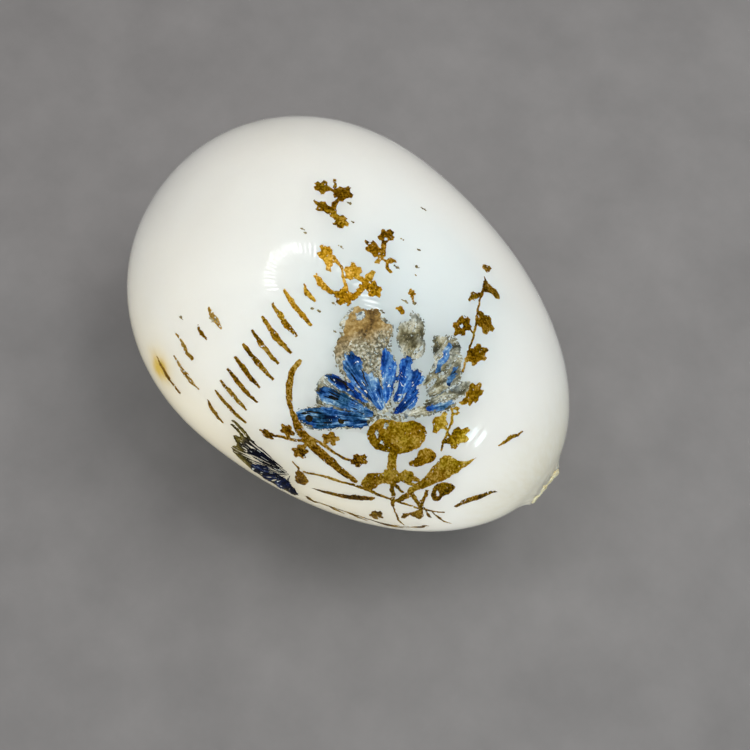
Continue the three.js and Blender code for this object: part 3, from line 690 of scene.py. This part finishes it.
def brushed(heart, shade=0.5, hue=0.3, streak=1.0, gaps=0.75, lift=0.05, grow=0.28, worn=0.66):
    """Paint drawn out from a flower's heart in soft strokes, streaked, specked and a little frayed."""

    def recipe(sheet):
        away, angle = sheet.polar(heart)
        bend = angle + 0.06 * sheet.grain(4.0, BEND, 2)
        coarse = fractal(bend * 9, away / 3.2, sheet.seed + STREAKS, 3)
        hairs = fractal(bend * 40, away / 3.0, sheet.seed + HAIRS, 3)
        reach = away[sheet.distance > 0]
        outer = np.clip((away - reach.min()) / (reach.max() - reach.min() + 0.01), 0, 1)
        sheet.warp(reach=0.6, size=1.9)
        sheet.rough(reach=0.3, size=0.7)
        sheet.rough(reach=0.16, size=0.3, pattern=FINE_ROUGH)
        near_edge = np.clip(1.2 - sheet.distance, 0, 1)
        sheet.field = sheet.field + grow + 0.5 * (0.2 + outer) * hairs * near_edge
        sheet.field = np.minimum(sheet.field, (gaps - 0.12 * outer - 0.8 * hairs - 0.3 * coarse) * 0.5)
        sheet.holes(size=0.34, level=worn)
        fine = sheet.grain(0.45, FINE, 3)
        sheet.shade = shade + streak * (0.5 * coarse + 0.32 * hairs) + 0.3 * fine
        sheet.hue = np.clip(hue + 0.6 * sheet.grain(2.4, HUE, 2), 0, 1)
        sheet.relief = hairs
        sheet.thickness = 0.05
        sheet.edge_height = lift
        sheet.relief_share = 0.6

    return recipe


def hair_lines(cover):
    """Thin dark lines drawn out from the bud's heart, whole and golden at their outer ends."""

    def recipe(sheet):
        away, angle = sheet.polar(BUD_HEART)
        angle = angle + 0.03 * sheet.grain(4.0, BEND, 2)
        lines = fractal(angle * 24, away / 7, sheet.seed + STREAKS, 2)
        outer = np.clip((away - 9.5) / 3.5, 0, 1)
        sheet.warp(reach=0.5, size=2.0)
        sheet.rough(reach=0.2, size=0.5)
        sheet.field = np.minimum(sheet.field + 0.15 * outer, (lines + cover + 0.8 * outer) * 0.7)
        sheet.holes(size=0.4, level=0.62)
        fine = sheet.grain(0.45, FINE, 3)
        sheet.shade = 0.16 + 0.3 * fine + 0.5 * outer + 0.25 * lines
        sheet.hue = np.clip(0.15 + outer + 0.5 * sheet.grain(2.4, HUE, 2), 0, 1)
        sheet.relief = fine

    return recipe


def haze(sheet):
    """A thin speckle of gilding and paint between the petals."""
    spread = np.clip(1 - np.abs(sheet.distance) / 1.2, 0, 1)
    patchy = sheet.grain(1.8, PATCHY, 2)
    specks = sheet.grain(0.32, SPECKS, 2)
    dx, dy = sheet.x - FLOWER_HEART[0], sheet.y - FLOWER_HEART[1]
    reach = np.maximum(sheet.distance, np.minimum(2.6 - np.hypot(dx, dy * 0.6), 0.4))
    spread = np.maximum(spread, np.clip(reach + 0.5, 0, 1))
    sheet.field = np.minimum(reach + 0.5, (specks - 0.38 + 0.46 * spread + 0.45 * patchy) * 0.32)
    sheet.shade = 0.5 + 0.5 * sheet.grain(0.5, FINE, 2) + 0.3 * patchy
    sheet.hue = np.clip(0.75 + 0.8 * sheet.grain(1.6, HUE, 2), 0, 1)
    sheet.thickness = 0.015


OVER_PETALS = 0.1  # chips and painted glints on top of a petal stand this high
CHIP_INSET = 0.1  # and this far in from its edge
CHIP_THICKNESS = 0.02


def bud_glints(sheet):
    """Painted highlights: pale glints streaked through the dark bud, drawn out from its heart."""
    away, angle = sheet.polar(BUD_HEART)
    scratch = fractal(angle * 22, away / 3.2, sheet.seed, 2) + 0.35 * sheet.grain(1.2, SPECKS, 2)
    sheet.field = np.minimum((scratch - 0.52) * 0.5, sheet.distance - CHIP_INSET)
    sheet.shade = 0.8 + 0.3 * sheet.grain(0.5, FINE, 2)
    sheet.hue = np.clip(0.3 + 0.8 * sheet.grain(1.6, HUE, 2), 0, 1)
    sheet.edge_height = OVER_PETALS
    sheet.thickness = CHIP_THICKNESS


BLACK_SPOTS = ((18.5, 32.0, 0.8), (24.0, 28.3, 0.6))  # along, around, radius


def flecks(sheet):
    """Small pale chips and dark specks on top of the petals."""
    away, angle = sheet.polar(FLOWER_HEART)
    near_heart = np.exp(-away / 7)
    chips = sheet.grain(0.42, SPECKS, 3) - 0.72 + 0.34 * near_heart + 0.5 * sheet.grain(2.0, CHIPS, 2)
    pale = chips * 0.4
    strokes = fractal(angle * 34, away / 3, sheet.seed + STROKES, 2) + 0.5 * sheet.grain(2.0, BRUSH, 2)
    side = np.clip((30 - sheet.x) / 6, 0, 1) * np.clip((sheet.y - 12) / 6, 0, 1)
    dark = (strokes - 0.78 + 0.28 * side) * 0.4
    for along, around, size in BLACK_SPOTS:
        gap = np.hypot(sheet.x - along, sheet.y - around)
        dark = np.maximum(dark, size - gap + 0.2 * sheet.grain(0.5, SPOTS, 2))
    sheet.field = np.minimum(np.maximum(pale, dark), sheet.distance - CHIP_INSET)
    sheet.shade = np.where(pale > dark, 0.85, 0.06) + 0.15 * sheet.grain(0.5, FINE, 2)
    sheet.hue = np.clip(0.3 + 0.8 * sheet.grain(1.6, HUE, 2), 0, 1)
    sheet.edge_height = OVER_PETALS
    sheet.thickness = CHIP_THICKNESS


# Along, around, size and shade.
STRAY_FLECKS = (
    (14.5, -11.5, 0.20, 0.42), (16.1, -8.1, 0.26, 0.38), (17.4, -6.5, 0.14, 0.5), (9.0, -21.0, 0.26, 0.36),
    (10.4, -10.6, 0.20, 0.52), (-5.5, 1.6, 0.20, 0.5), (-4.6, 1.9, 0.16, 0.52), (-15.0, 33.0, 0.24, 0.45),
    (7.4, 12.3, 0.20, 0.45), (6.2, 12.7, 0.18, 0.48), (12.4, 13.5, 0.20, 0.45), (13.3, -4.9, 0.28, 0.42),
    (21.0, -1.6, 0.30, 0.45), (19.2, -0.5, 0.26, 0.5), (-2.1, -9.2, 0.24, 0.45), (0.9, -6.2, 0.22, 0.45),
    (8.8, 9.3, 0.18, 0.45), (2.6, -0.4, 0.22, 0.6), (-8.5, 27.5, 0.5, 0.62), (30.0, -8.0, 0.14, 0.4),
)


def strays(sheet):
    """Chips of gilding and grey dust that stick to the bare glass round the flowers."""
    sheet.field = np.full(sheet.x.shape, -1.0)
    tint = np.full(sheet.x.shape, 0.3)
    for along, around, size, shade in STRAY_FLECKS:
        lean = (sheet.x - along) + 0.5 * (sheet.y - around)
        gap = np.hypot(lean * 0.55, sheet.y - around) - 1.2 * size * sheet.grain(0.3, SPECKS, 2)
        tint = np.where(size - gap > sheet.field, shade, tint)
        sheet.field = np.maximum(sheet.field, size - gap)
    sheet.shade = tint + 0.15 * sheet.grain(0.4, FINE, 2)
    sheet.hue = np.clip(3.0 * tint, 0, 1)
    sheet.thickness = CHIP_THICKNESS


def gilt(**settings):
    return "gilt", gilding(**settings)


def blue(**settings):
    return "blue_enamel", brushed(FLOWER_HEART, **settings)


def smudged(**settings):
    return "smudged_gilt", brushed(FLOWER_HEART, hue=0.8, lift=0.004, **settings)


# Each film's material and recipe. The place in this list sets a film's noise, so new ones go at its end.
FILMS = {
    "sprig_top": gilt(shade=0.42, hue=0.35),
    "sprig_crown": gilt(shade=0.5, hue=0.7),
    "leaf_loose_upper": gilt(shade=0.5, hue=0.6),
    "leaf_loose_lower": gilt(shade=0.5, hue=0.6),
    "sprig_upper": gilt(shade=0.5, hue=0.7),
    "bouquet_gilding": gilt(shade=0.55, hue=0.2),
    "sword_leaf": gilt(shade=0.48, hue=0.8, wear=0.6, speckle=0.55, warp=0.3, ragged=0.45),
    "trefoil_leaf": gilt(shade=0.55, hue=0.3),
    "ring_leaf": gilt(shade=0.42, hue=0.2),
    "slim_leaf": gilt(shade=0.36, hue=0.6),
    "sprig_tip_leaf": gilt(shade=0.5, hue=0.6),
    "sprig_long": gilt(shade=0.5, hue=0.4),
    "sprig_leaf_low": gilt(shade=0.5, hue=0.4),
    "sprig_side": gilt(shade=0.52, hue=0.35),
    "loose_stroke": gilt(shade=0.5, hue=0.3),
    "loose_leaf": gilt(shade=0.45, hue=0.2),
    "bud_ground": ("navy_enamel", hair_lines(cover=-0.13)),
    "bud_calyx": gilt(shade=0.36, hue=0.7),
    "under_flower": gilt(shade=0.36, hue=0.2),
    "under_sprig": gilt(shade=0.4, hue=0.2),
    "frieze_end_blade_1": gilt(shade=0.52, hue=0.5),
    "frieze_end_blade_2": gilt(shade=0.45, hue=0.6),
    "bloom_cap": ("worn_gilt", cap_gilding),
    "bloom_ground_left": smudged(shade=0.3, streak=1.2, gaps=0.3, grow=0.1, worn=0.36),
    "petal_1": blue(shade=0.36, hue=0.2, streak=1.3),
    "petal_2": blue(shade=0.44, hue=0.15),
    "petal_3": blue(shade=0.45, hue=0.6, streak=1.2),
    "petal_4": blue(shade=0.5, hue=0.5),
    "petal_5": blue(shade=0.52, hue=0.9),
    "petal_6": blue(shade=0.45, hue=0.9),
    "petal_7": blue(shade=0.42, hue=0.9),
}
for number in range(1, 4):
    FILMS[f"petal_streak_{number}"] = blue(shade=0.55, hue=0.5, lift=0.04)
for number in range(1, 10):
    FILMS[f"frieze_blade_{number}"] = gilt(shade=0.5, hue=0.5, warp=0.3, ragged=0.5)
FILMS["bud_petal_1"] = ("navy_enamel", hair_lines(cover=0.34))
for number in range(1, 6):
    FILMS[f"frieze_worn_blade_{number}"] = gilt(shade=0.62, hue=1.0, wear=0.35, speckle=0.25)
    FILMS[f"worn_petal_{number}"] = smudged(shade=0.47, streak=1.5, gaps=0.48, grow=0.15, worn=0.46)
for number in range(2, 6):
    FILMS[f"bud_petal_{number}"] = ("navy_enamel", brushed(BUD_HEART, shade=0.4, hue=0.05, gaps=0.5))

FIRST_SEED = 1000
SEED_STEP = 97  # more than the highest noise pattern, so no two films share one
HAZE_SEED, FLECKS_SEED, STRAYS_SEED, GLINTS_SEED = 9001, 9101, 9201, 9301


def outlines_of(*prefixes):
    return [outline_of(node) for node in FILMS if node.startswith(prefixes)]


def build_films():
    """The films that have a CAD solid."""
    for index, (node, (material, recipe)) in enumerate(FILMS.items()):
        film_piece(node, material, recipe, FIRST_SEED + SEED_STEP * index)


def build_dust():
    """Thin layers without a CAD solid: speckle, chips and painted highlights."""
    bloom = sheet_grid(outlines_of("petal_", "worn_petal_", "bloom_"))
    film_sheet("bloom_haze", bloom, "smudged_gilt", haze, HAZE_SEED)
    corners = np.array([fleck[:2] for fleck in STRAY_FLECKS])
    stray_box = (np.stack([corners, np.roll(corners, 1, 0)], 1), np.zeros((0, 3, 2)))
    bare = sheet_grid([stray_box], margin=1.0)
    film_sheet("stray_flecks", bare, "fleck_paint", strays, STRAYS_SEED)
    bud = sheet_grid(outlines_of("bud_petal_"))
    # The bud's glints are painted highlights on its dark enamel.
    film_sheet("bud_glints", bud, "fleck_paint", bud_glints, GLINTS_SEED)
    petals = sheet_grid(outlines_of("petal_"))
    film_sheet("bloom_flecks", petals, "fleck_paint", flecks, FLECKS_SEED)


build_films()
build_dust()


# ---- Glass ----
RING_SEGMENTS = 256
RIM_WAVE, RIM_CHIPS, STAIN_CLOUD, RIM_CLOUD, CRUST_WAVE, CRUST_LUMPS = 71, 72, 81, 83, 91, 93  # seeds
BLUNT_RINGS, SMALL_RINGS, NECK_RINGS, HOLLOW_RINGS = 70, 80, 12, 40
EDGE_RAG, RIM_RAG, HOLE_RAG = 0.55, 0.35, 0.15  # unevenness of the neck's edge, its rim and the hole's edge
STAIN_PLACE = (-14.8, 50.5)  # along, around
BLOOM_PLACE = (26, 3)


def ring_faces(rows, closed=False):
    """Quads between rings of points, from each to the next, and from the last to the first if closed."""
    faces = []
    for row in range(rows if closed else rows - 1):
        a = row * RING_SEGMENTS + np.arange(RING_SEGMENTS)
        b = row * RING_SEGMENTS + (np.arange(RING_SEGMENTS) + 1) % RING_SEGMENTS
        faces.append(np.stack([a, b, b + RING_SEGMENTS, a + RING_SEGMENTS], -1))
    return (np.concatenate(faces) % (rows * RING_SEGMENTS)).tolist()


def rings(profile, raggedness):
    """Rings of points for a profile of (x, radius), with the rim's unevenness by raggedness."""
    angle = np.arange(RING_SEGMENTS) / RING_SEGMENTS * 2 * math.pi
    wave = fractal(np.cos(angle) * 2.2 + 5, np.sin(angle) * 2.2 + 5, RIM_WAVE, 4)
    chips = fractal(np.cos(angle) * 5 + 9, np.sin(angle) * 5 + 9, RIM_CHIPS, 3)
    points = []
    for (x, radius), rag in zip(profile, raggedness):
        reach = radius + rag * 0.5 * chips
        shift = rag * (1.1 * wave + 0.6 * chips)
        points.append(np.stack([x + shift, -reach * np.sin(angle), reach * np.cos(angle)], -1))
    return np.concatenate(points)


HOLLOW_SHARE = (RADIUS - WALL) / RADIUS  # the hollow is the egg's shape, this much smaller
HOLE_INNER_END = (
    SMALL_LENGTH * HOLLOW_SHARE * math.sqrt(1 - (BLOW_HOLE_RADIUS / RADIUS / HOLLOW_SHARE) ** 2)
)
POLE_ANGLE = 0.012  # a closed end is a small disc, this far from the pole


def curve_through(start, middle, end, share):
    """A place on a quadratic curve."""
    return (1 - share) ** 2 * start + 2 * share * (1 - share) * middle + share**2 * end


def glass_profile():
    """The outside, the neck, its broken rim and the blow hole as (x, radius), and each one's raggedness."""
    neck_root = SMALL_LENGTH * math.sqrt(1 - (NECK_ROOT_RADIUS / RADIUS) ** 2)
    blunt = -BLUNT_LENGTH * np.cos(np.linspace(POLE_ANGLE, math.pi / 2, BLUNT_RINGS))
    small = SMALL_LENGTH * np.sin(np.linspace(0, math.asin(neck_root / SMALL_LENGTH), SMALL_RINGS))[1:]
    profile = [(x, float(radius_at(x))) for x in np.concatenate([blunt, small])]
    raggedness = [0.0] * len(profile)
    bend_x = neck_root + (NECK_END - neck_root) / 2
    for share in np.linspace(0, 1, NECK_RINGS)[1:]:
        x = curve_through(neck_root, bend_x, NECK_END, share)
        profile.append((x, curve_through(NECK_ROOT_RADIUS, NECK_BEND_RADIUS, NECK_RADIUS, share)))
        raggedness.append(float(share**2) * EDGE_RAG)
    for radius in (NECK_RADIUS - 0.5, NECK_RADIUS - 1.4, BLOW_HOLE_RADIUS + 0.6, BLOW_HOLE_RADIUS):
        profile.append((NECK_END - 0.15, radius))
        raggedness.append(RIM_RAG if radius > BLOW_HOLE_RADIUS else HOLE_RAG)
    profile.append((HOLE_INNER_END, BLOW_HOLE_RADIUS))
    raggedness.append(0.0)
    return profile, raggedness


def glass_shades(points):
    """How stained, cool, warm, pale and darkened the glass is at each point, from 0 to 1. Warm is a painted
    warm bounce on the near lower side along with a real yellow stain by the rim, pale is painted light on
    the ends and the far side, and the darkening is painted shade inside the blow hole.
    """
    along, around, _ = chart(points)
    spot = np.exp(-(((along - STAIN_PLACE[0]) / 3.0) ** 2 + ((around - STAIN_PLACE[1]) / 4.2) ** 2))
    stain = np.clip(spot * (1.1 + 0.8 * fractal(along / 2, around / 2, STAIN_CLOUD)), 0, 1)
    bloom = np.exp(-(((along - BLOOM_PLACE[0]) / 36) ** 2 + ((around - BLOOM_PLACE[1]) / 42) ** 2))
    # The chart meets itself under the egg, where warm and pale have to be the same on both sides.
    # Painted light: pale brightens both ends, the far side and the underside.
    pale = np.clip((np.abs(along - 5) - 30) / 22, 0, 1)
    pale = np.maximum(pale, np.clip((-around - 20) / 16, 0, 1))
    pale = np.maximum(pale, np.clip((around - 84) / 30, 0, 1))
    # Painted light: a warm bounce tone along the near lower side.
    warm_bounce_and_rim_stain = 0.85 * np.clip((around - 37) / 22, 0, 1) * np.clip(1.6 - np.abs(along - 8) / 38, 0, 1)
    warm_bounce_and_rim_stain *= np.clip((114 - around) / 30, 0, 1)
    # By the broken rim the same warm tone is a real yellow stain.
    rim = np.clip((points[:, 0] - NECK_END + 15) / 14, 0, 1) ** 1.5
    rim *= 1 + 0.4 * fractal(along / 1.5, around / 1.5, RIM_CLOUD)
    warm_bounce_and_rim_stain = np.maximum(warm_bounce_and_rim_stain, 0.8 * np.clip(rim, 0, 1))
    hole = np.zeros(len(points))
    hole[-RING_SEGMENTS:] = 1  # painted shade: the blow hole darkens to the hollow's tone at its closed end
    return {"stain": stain, "bloom": bloom, "warm_bounce_and_rim_stain": warm_bounce_and_rim_stain, "pale": pale, "hole": hole}


def capped_rings(profile, raggedness):
    """Points and faces of a closed body of rings."""
    count = len(profile)
    faces = ring_faces(count)
    faces.append(list(range(RING_SEGMENTS))[::-1])
    faces.append(list(range((count - 1) * RING_SEGMENTS, count * RING_SEGMENTS)))
    return rings(profile, raggedness), faces


def build_glass(material):
    points, faces = capped_rings(*glass_profile())
    piece = make_piece("blown_glass", points, faces, material, glass_shades(points))
    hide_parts("glass_shell")


def build_hollow(material):
    """The wall's inner face, round the hollow."""
    first_angle = math.asin(HOLE_INNER_END / HOLLOW_SHARE / SMALL_LENGTH) - 0.03  # clear of the blow hole
    small = SMALL_LENGTH * np.sin(np.linspace(first_angle, 0, HOLLOW_RINGS))
    blunt = -BLUNT_LENGTH * np.sin(np.linspace(0, math.pi / 2 - POLE_ANGLE, HOLLOW_RINGS)[1:])
    xs = np.concatenate([small, blunt])
    profile = [(x * HOLLOW_SHARE, float(radius_at(x)) * HOLLOW_SHARE) for x in xs]
    points, faces = capped_rings(profile, [0.0] * len(profile))
    points[:, 2] += WALL_SAG
    zeros = np.zeros(len(points))
    shades = {"stain": zeros, "bloom": zeros + 0.5, "warm_bounce_and_rim_stain": zeros, "pale": zeros, "hole": zeros}
    piece = make_piece("blown_glass_hollow", points, faces, material, shades)
    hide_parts("glass_shell")


# ---- Dried filler on the rim ----
CRUST_ROWS = 14  # of points round its thickness
CRUST_MIDDLE_RADIUS = 3.4
CRUST_HALF_WIDTH = 1.45
CRUST_HALF_THICKNESS = 0.55


def build_filler(material):
    """A lumpy ring of filler that sits on the broken rim and follows its unevenness."""
    angle = np.arange(RING_SEGMENTS) / RING_SEGMENTS * 2 * math.pi
    wave = fractal(np.cos(angle) * 2 + 3, np.sin(angle) * 2 + 3, CRUST_WAVE, 4)
    points = []
    for row in range(CRUST_ROWS):
        turn = row / CRUST_ROWS * 2 * math.pi
        across, up_and_down = np.cos(angle) * 6 + 4 * np.cos(turn), np.sin(angle) * 6 + 4 * np.sin(turn)
        lump = fractal(across, up_and_down, CRUST_LUMPS, 4)
        x = NECK_END + 0.1 + CRUST_HALF_THICKNESS * math.sin(turn) + 0.3 * lump + 0.35 * wave
        reach = CRUST_MIDDLE_RADIUS + CRUST_HALF_WIDTH * math.cos(turn) + 0.25 * lump
        points.append(np.stack([x, -reach * np.sin(angle), reach * np.cos(angle)], -1))
    faces = ring_faces(CRUST_ROWS, closed=True)
    piece = make_piece("filler_crust", np.concatenate(points), faces, material)
    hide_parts("neck_crust")


glass = opal_glass()
build_glass(glass)
build_hollow(glass)
build_filler(rim_filler())

# ---- Camera ----
# The camera looks down on the egg from over its decorated side.
CAMERA_AZIMUTH = math.radians(38.82)
CAMERA_ELEVATION = math.radians(70)
CAMERA_DISTANCE = 300.0
AIM_OFFSET = Vector((20.444, -5.284, 0))  # from the middle of the egg's widest circle
SENSOR = 36.0
LENS = 65.45

back = Vector(
    (
        math.sin(CAMERA_AZIMUTH) * math.cos(CAMERA_ELEVATION),
        -math.cos(CAMERA_AZIMUTH) * math.cos(CAMERA_ELEVATION),
        math.sin(CAMERA_ELEVATION),
    )
)
right = Vector((math.cos(CAMERA_AZIMUTH), math.sin(CAMERA_AZIMUTH), 0))
up = back.cross(right)


def look(location, towards_back, upwards):
    """The matrix of a camera or light at location, facing away from towards_back."""
    side = upwards.cross(towards_back).normalized()
    rows = Matrix((side, towards_back.cross(side), towards_back)).transposed()
    matrix = rows.to_4x4()
    matrix.translation = location * MM
    return matrix


def build_camera():
    data = bpy.data.cameras.new("camera")
    data.sensor_width = SENSOR
    data.lens = LENS
    data.clip_start = 10 * MM
    data.clip_end = 20000 * MM
    camera = bpy.data.objects.new("camera", data)
    camera.matrix_world = look(Vector(CENTRE) + AIM_OFFSET + back * CAMERA_DISTANCE, back, up)
    bpy.context.scene.collection.objects.link(camera)
    bpy.context.scene.camera = camera


# ---- Lights ----
egg_middle = Vector(CENTRE) + Vector((6, -8, 30))  # a little under the skin where the decoration is

RING_DISTANCE = 300.0
RING_INNER = 96.0
RING_OUTER = 134.0
RING_STRIPS = 56
RING_STRIP_WIDTH = 4.5
RING_BRIGHT = 11.0
RING_DIM = 2.5
RING_BRIGHT_END = math.radians(198)
RING_COLOUR = (1.0, 0.99, 0.98)

WINDOW_DISTANCE = 600
WINDOW_PANES = 3
PANE_WIDTH = 28
PANE_HEIGHT = 110
PANE_PITCH = 46
PANE_RISE = 14  # of each pane over the one before it
WINDOW_RADIANCE = 7.5
WINDOW_COLOUR = (0.72, 0.96, 1.0)

KEY_DISTANCE = 650
KEY_SIZE = 300
KEY_RADIANCE = 3.6
KEY_COLOUR = (1.0, 0.99, 0.96)

GLOW_DISTANCE = 600
GLOW_WIDTH = 700
GLOW_HEIGHT = 400
GLOW_RADIANCE = 3.9
GLOW_COLOUR = (1.0, 0.985, 0.93)

ROOM_COLOUR = (0.92, 0.92, 0.90)
ROOM_STRENGTH = 0.275


def area_light(name, location, target, width, height, radiance, colour, upwards=None):
    data = bpy.data.lights.new(name, "AREA")
    data.shape = "RECTANGLE"
    data.size = width * MM
    data.size_y = height * MM
    data.energy = radiance * math.pi * width * height * MM * MM
    data.color = colour
    light = bpy.data.objects.new(name, data)
    light.matrix_world = look(location, (location - target).normalized(), upwards or Vector((0, 0, 1)))
    bpy.context.scene.collection.objects.link(light)
    light.visible_camera = False
    return light


def build_ring_lamp():
    """A ring lamp of separate strips stands round the camera, brighter over its upper half."""
    axis = (back - right * 0.074 + up * 0.17).normalized()
    ring_right = (right - axis * right.dot(axis)).normalized()
    ring_up = axis.cross(ring_right)
    length = RING_OUTER - RING_INNER
    for strip in range(RING_STRIPS):
        turn = strip / RING_STRIPS * 2 * math.pi
        spoke = ring_right * math.cos(turn) + ring_up * math.sin(turn)
        place = egg_middle + axis * RING_DISTANCE + spoke * (RING_INNER + RING_OUTER) / 2
        radiance = RING_BRIGHT if turn < RING_BRIGHT_END else RING_DIM
        name = f"ring_strip_{strip + 1}"
        area_light(name, place, place - axis, RING_STRIP_WIDTH, length, radiance, RING_COLOUR, spoke)


def build_window():
    """A low window, seen only as a small reflection near the egg's small end."""
    way = (right * 0.626 - up * 0.595 + back * 0.503).normalized()
    side = (right * 0.55 + up * 0.83).cross(way).normalized()
    tall = way.cross(side)
    for pane in range(WINDOW_PANES):
        step = pane - (WINDOW_PANES - 1) // 2
        place = egg_middle + way * WINDOW_DISTANCE + side * step * PANE_PITCH + tall * step * PANE_RISE
        name = f"window_pane_{pane + 1}"
        area_light(name, place, egg_middle, PANE_WIDTH, PANE_HEIGHT, WINDOW_RADIANCE, WINDOW_COLOUR, tall)


def build_key():
    """A soft key from the upper right gives the shadow its side. It is left out of reflections."""
    place = egg_middle + (right * 0.45 + up * 0.42 + back * 0.8).normalized() * KEY_DISTANCE
    key = area_light("key", place, egg_middle, KEY_SIZE, KEY_SIZE, KEY_RADIANCE, KEY_COLOUR)
    key.visible_glossy = False


def build_glow():
    """A low fill on the egg alone, for the light that opal glass carries round from its lit side."""
    level = Vector((up.x, up.y, 0)).normalized()
    way = (right * 0.5 + level * 0.85 + Vector((0, 0, 0.2))).normalized()
    place = egg_middle - way * GLOW_DISTANCE
    glow = area_light("glow", place, egg_middle, GLOW_WIDTH, GLOW_HEIGHT, GLOW_RADIANCE, GLOW_COLOUR)
    glow.visible_glossy = False
    glow.data.cycles.max_bounces = 0
    egg_only = bpy.data.collections.new("egg_only")
    for piece in bpy.context.scene.collection.objects:
        if piece.type == "MESH":
            egg_only.objects.link(piece)
    glow.light_linking.receiver_collection = egg_only
    glow.light_linking.blocker_collection = egg_only


def build_room():
    world = bpy.data.worlds.new("room")
    bpy.context.scene.world = world
    world.use_nodes = True
    background = world.node_tree.nodes["Background"]
    background.inputs["Color"].default_value = (*ROOM_COLOUR, 1)
    background.inputs["Strength"].default_value = ROOM_STRENGTH


# ---- Floor ----
FLOOR_HALF = 6000


def floor_grey():
    """A plain grey with a very soft mottle."""
    material, tree, shader = new_material("floor")
    mottle = noise_node(tree, 40, detail=5, roughness=0.6)
    grey = ramp(tree, mottle, (0.3, (0.375, 0.362, 0.366)), (0.7, (0.455, 0.44, 0.444)))
    tree.links.new(grey, shader.inputs["Base Color"])
    shader.inputs["Roughness"].default_value = 0.85
    return material


def build_floor():
    mesh = bpy.data.meshes.new("floor")
    half = FLOOR_HALF * MM
    corners = [(-half, -half), (half, -half), (half, half), (-half, half)]
    mesh.from_pydata([(x, y, shell_low.z) for x, y in corners], [], [(0, 1, 2, 3)])
    mesh.materials.append(floor_grey())
    floor = bpy.data.objects.new("floor", mesh)
    bpy.context.scene.collection.objects.link(floor)


build_camera()
build_ring_lamp()
build_window()
build_key()
build_glow()  # before the floor, so that the egg's pieces are the only meshes
build_room()
build_floor()

bpy.context.scene.view_settings.view_transform = "Standard"
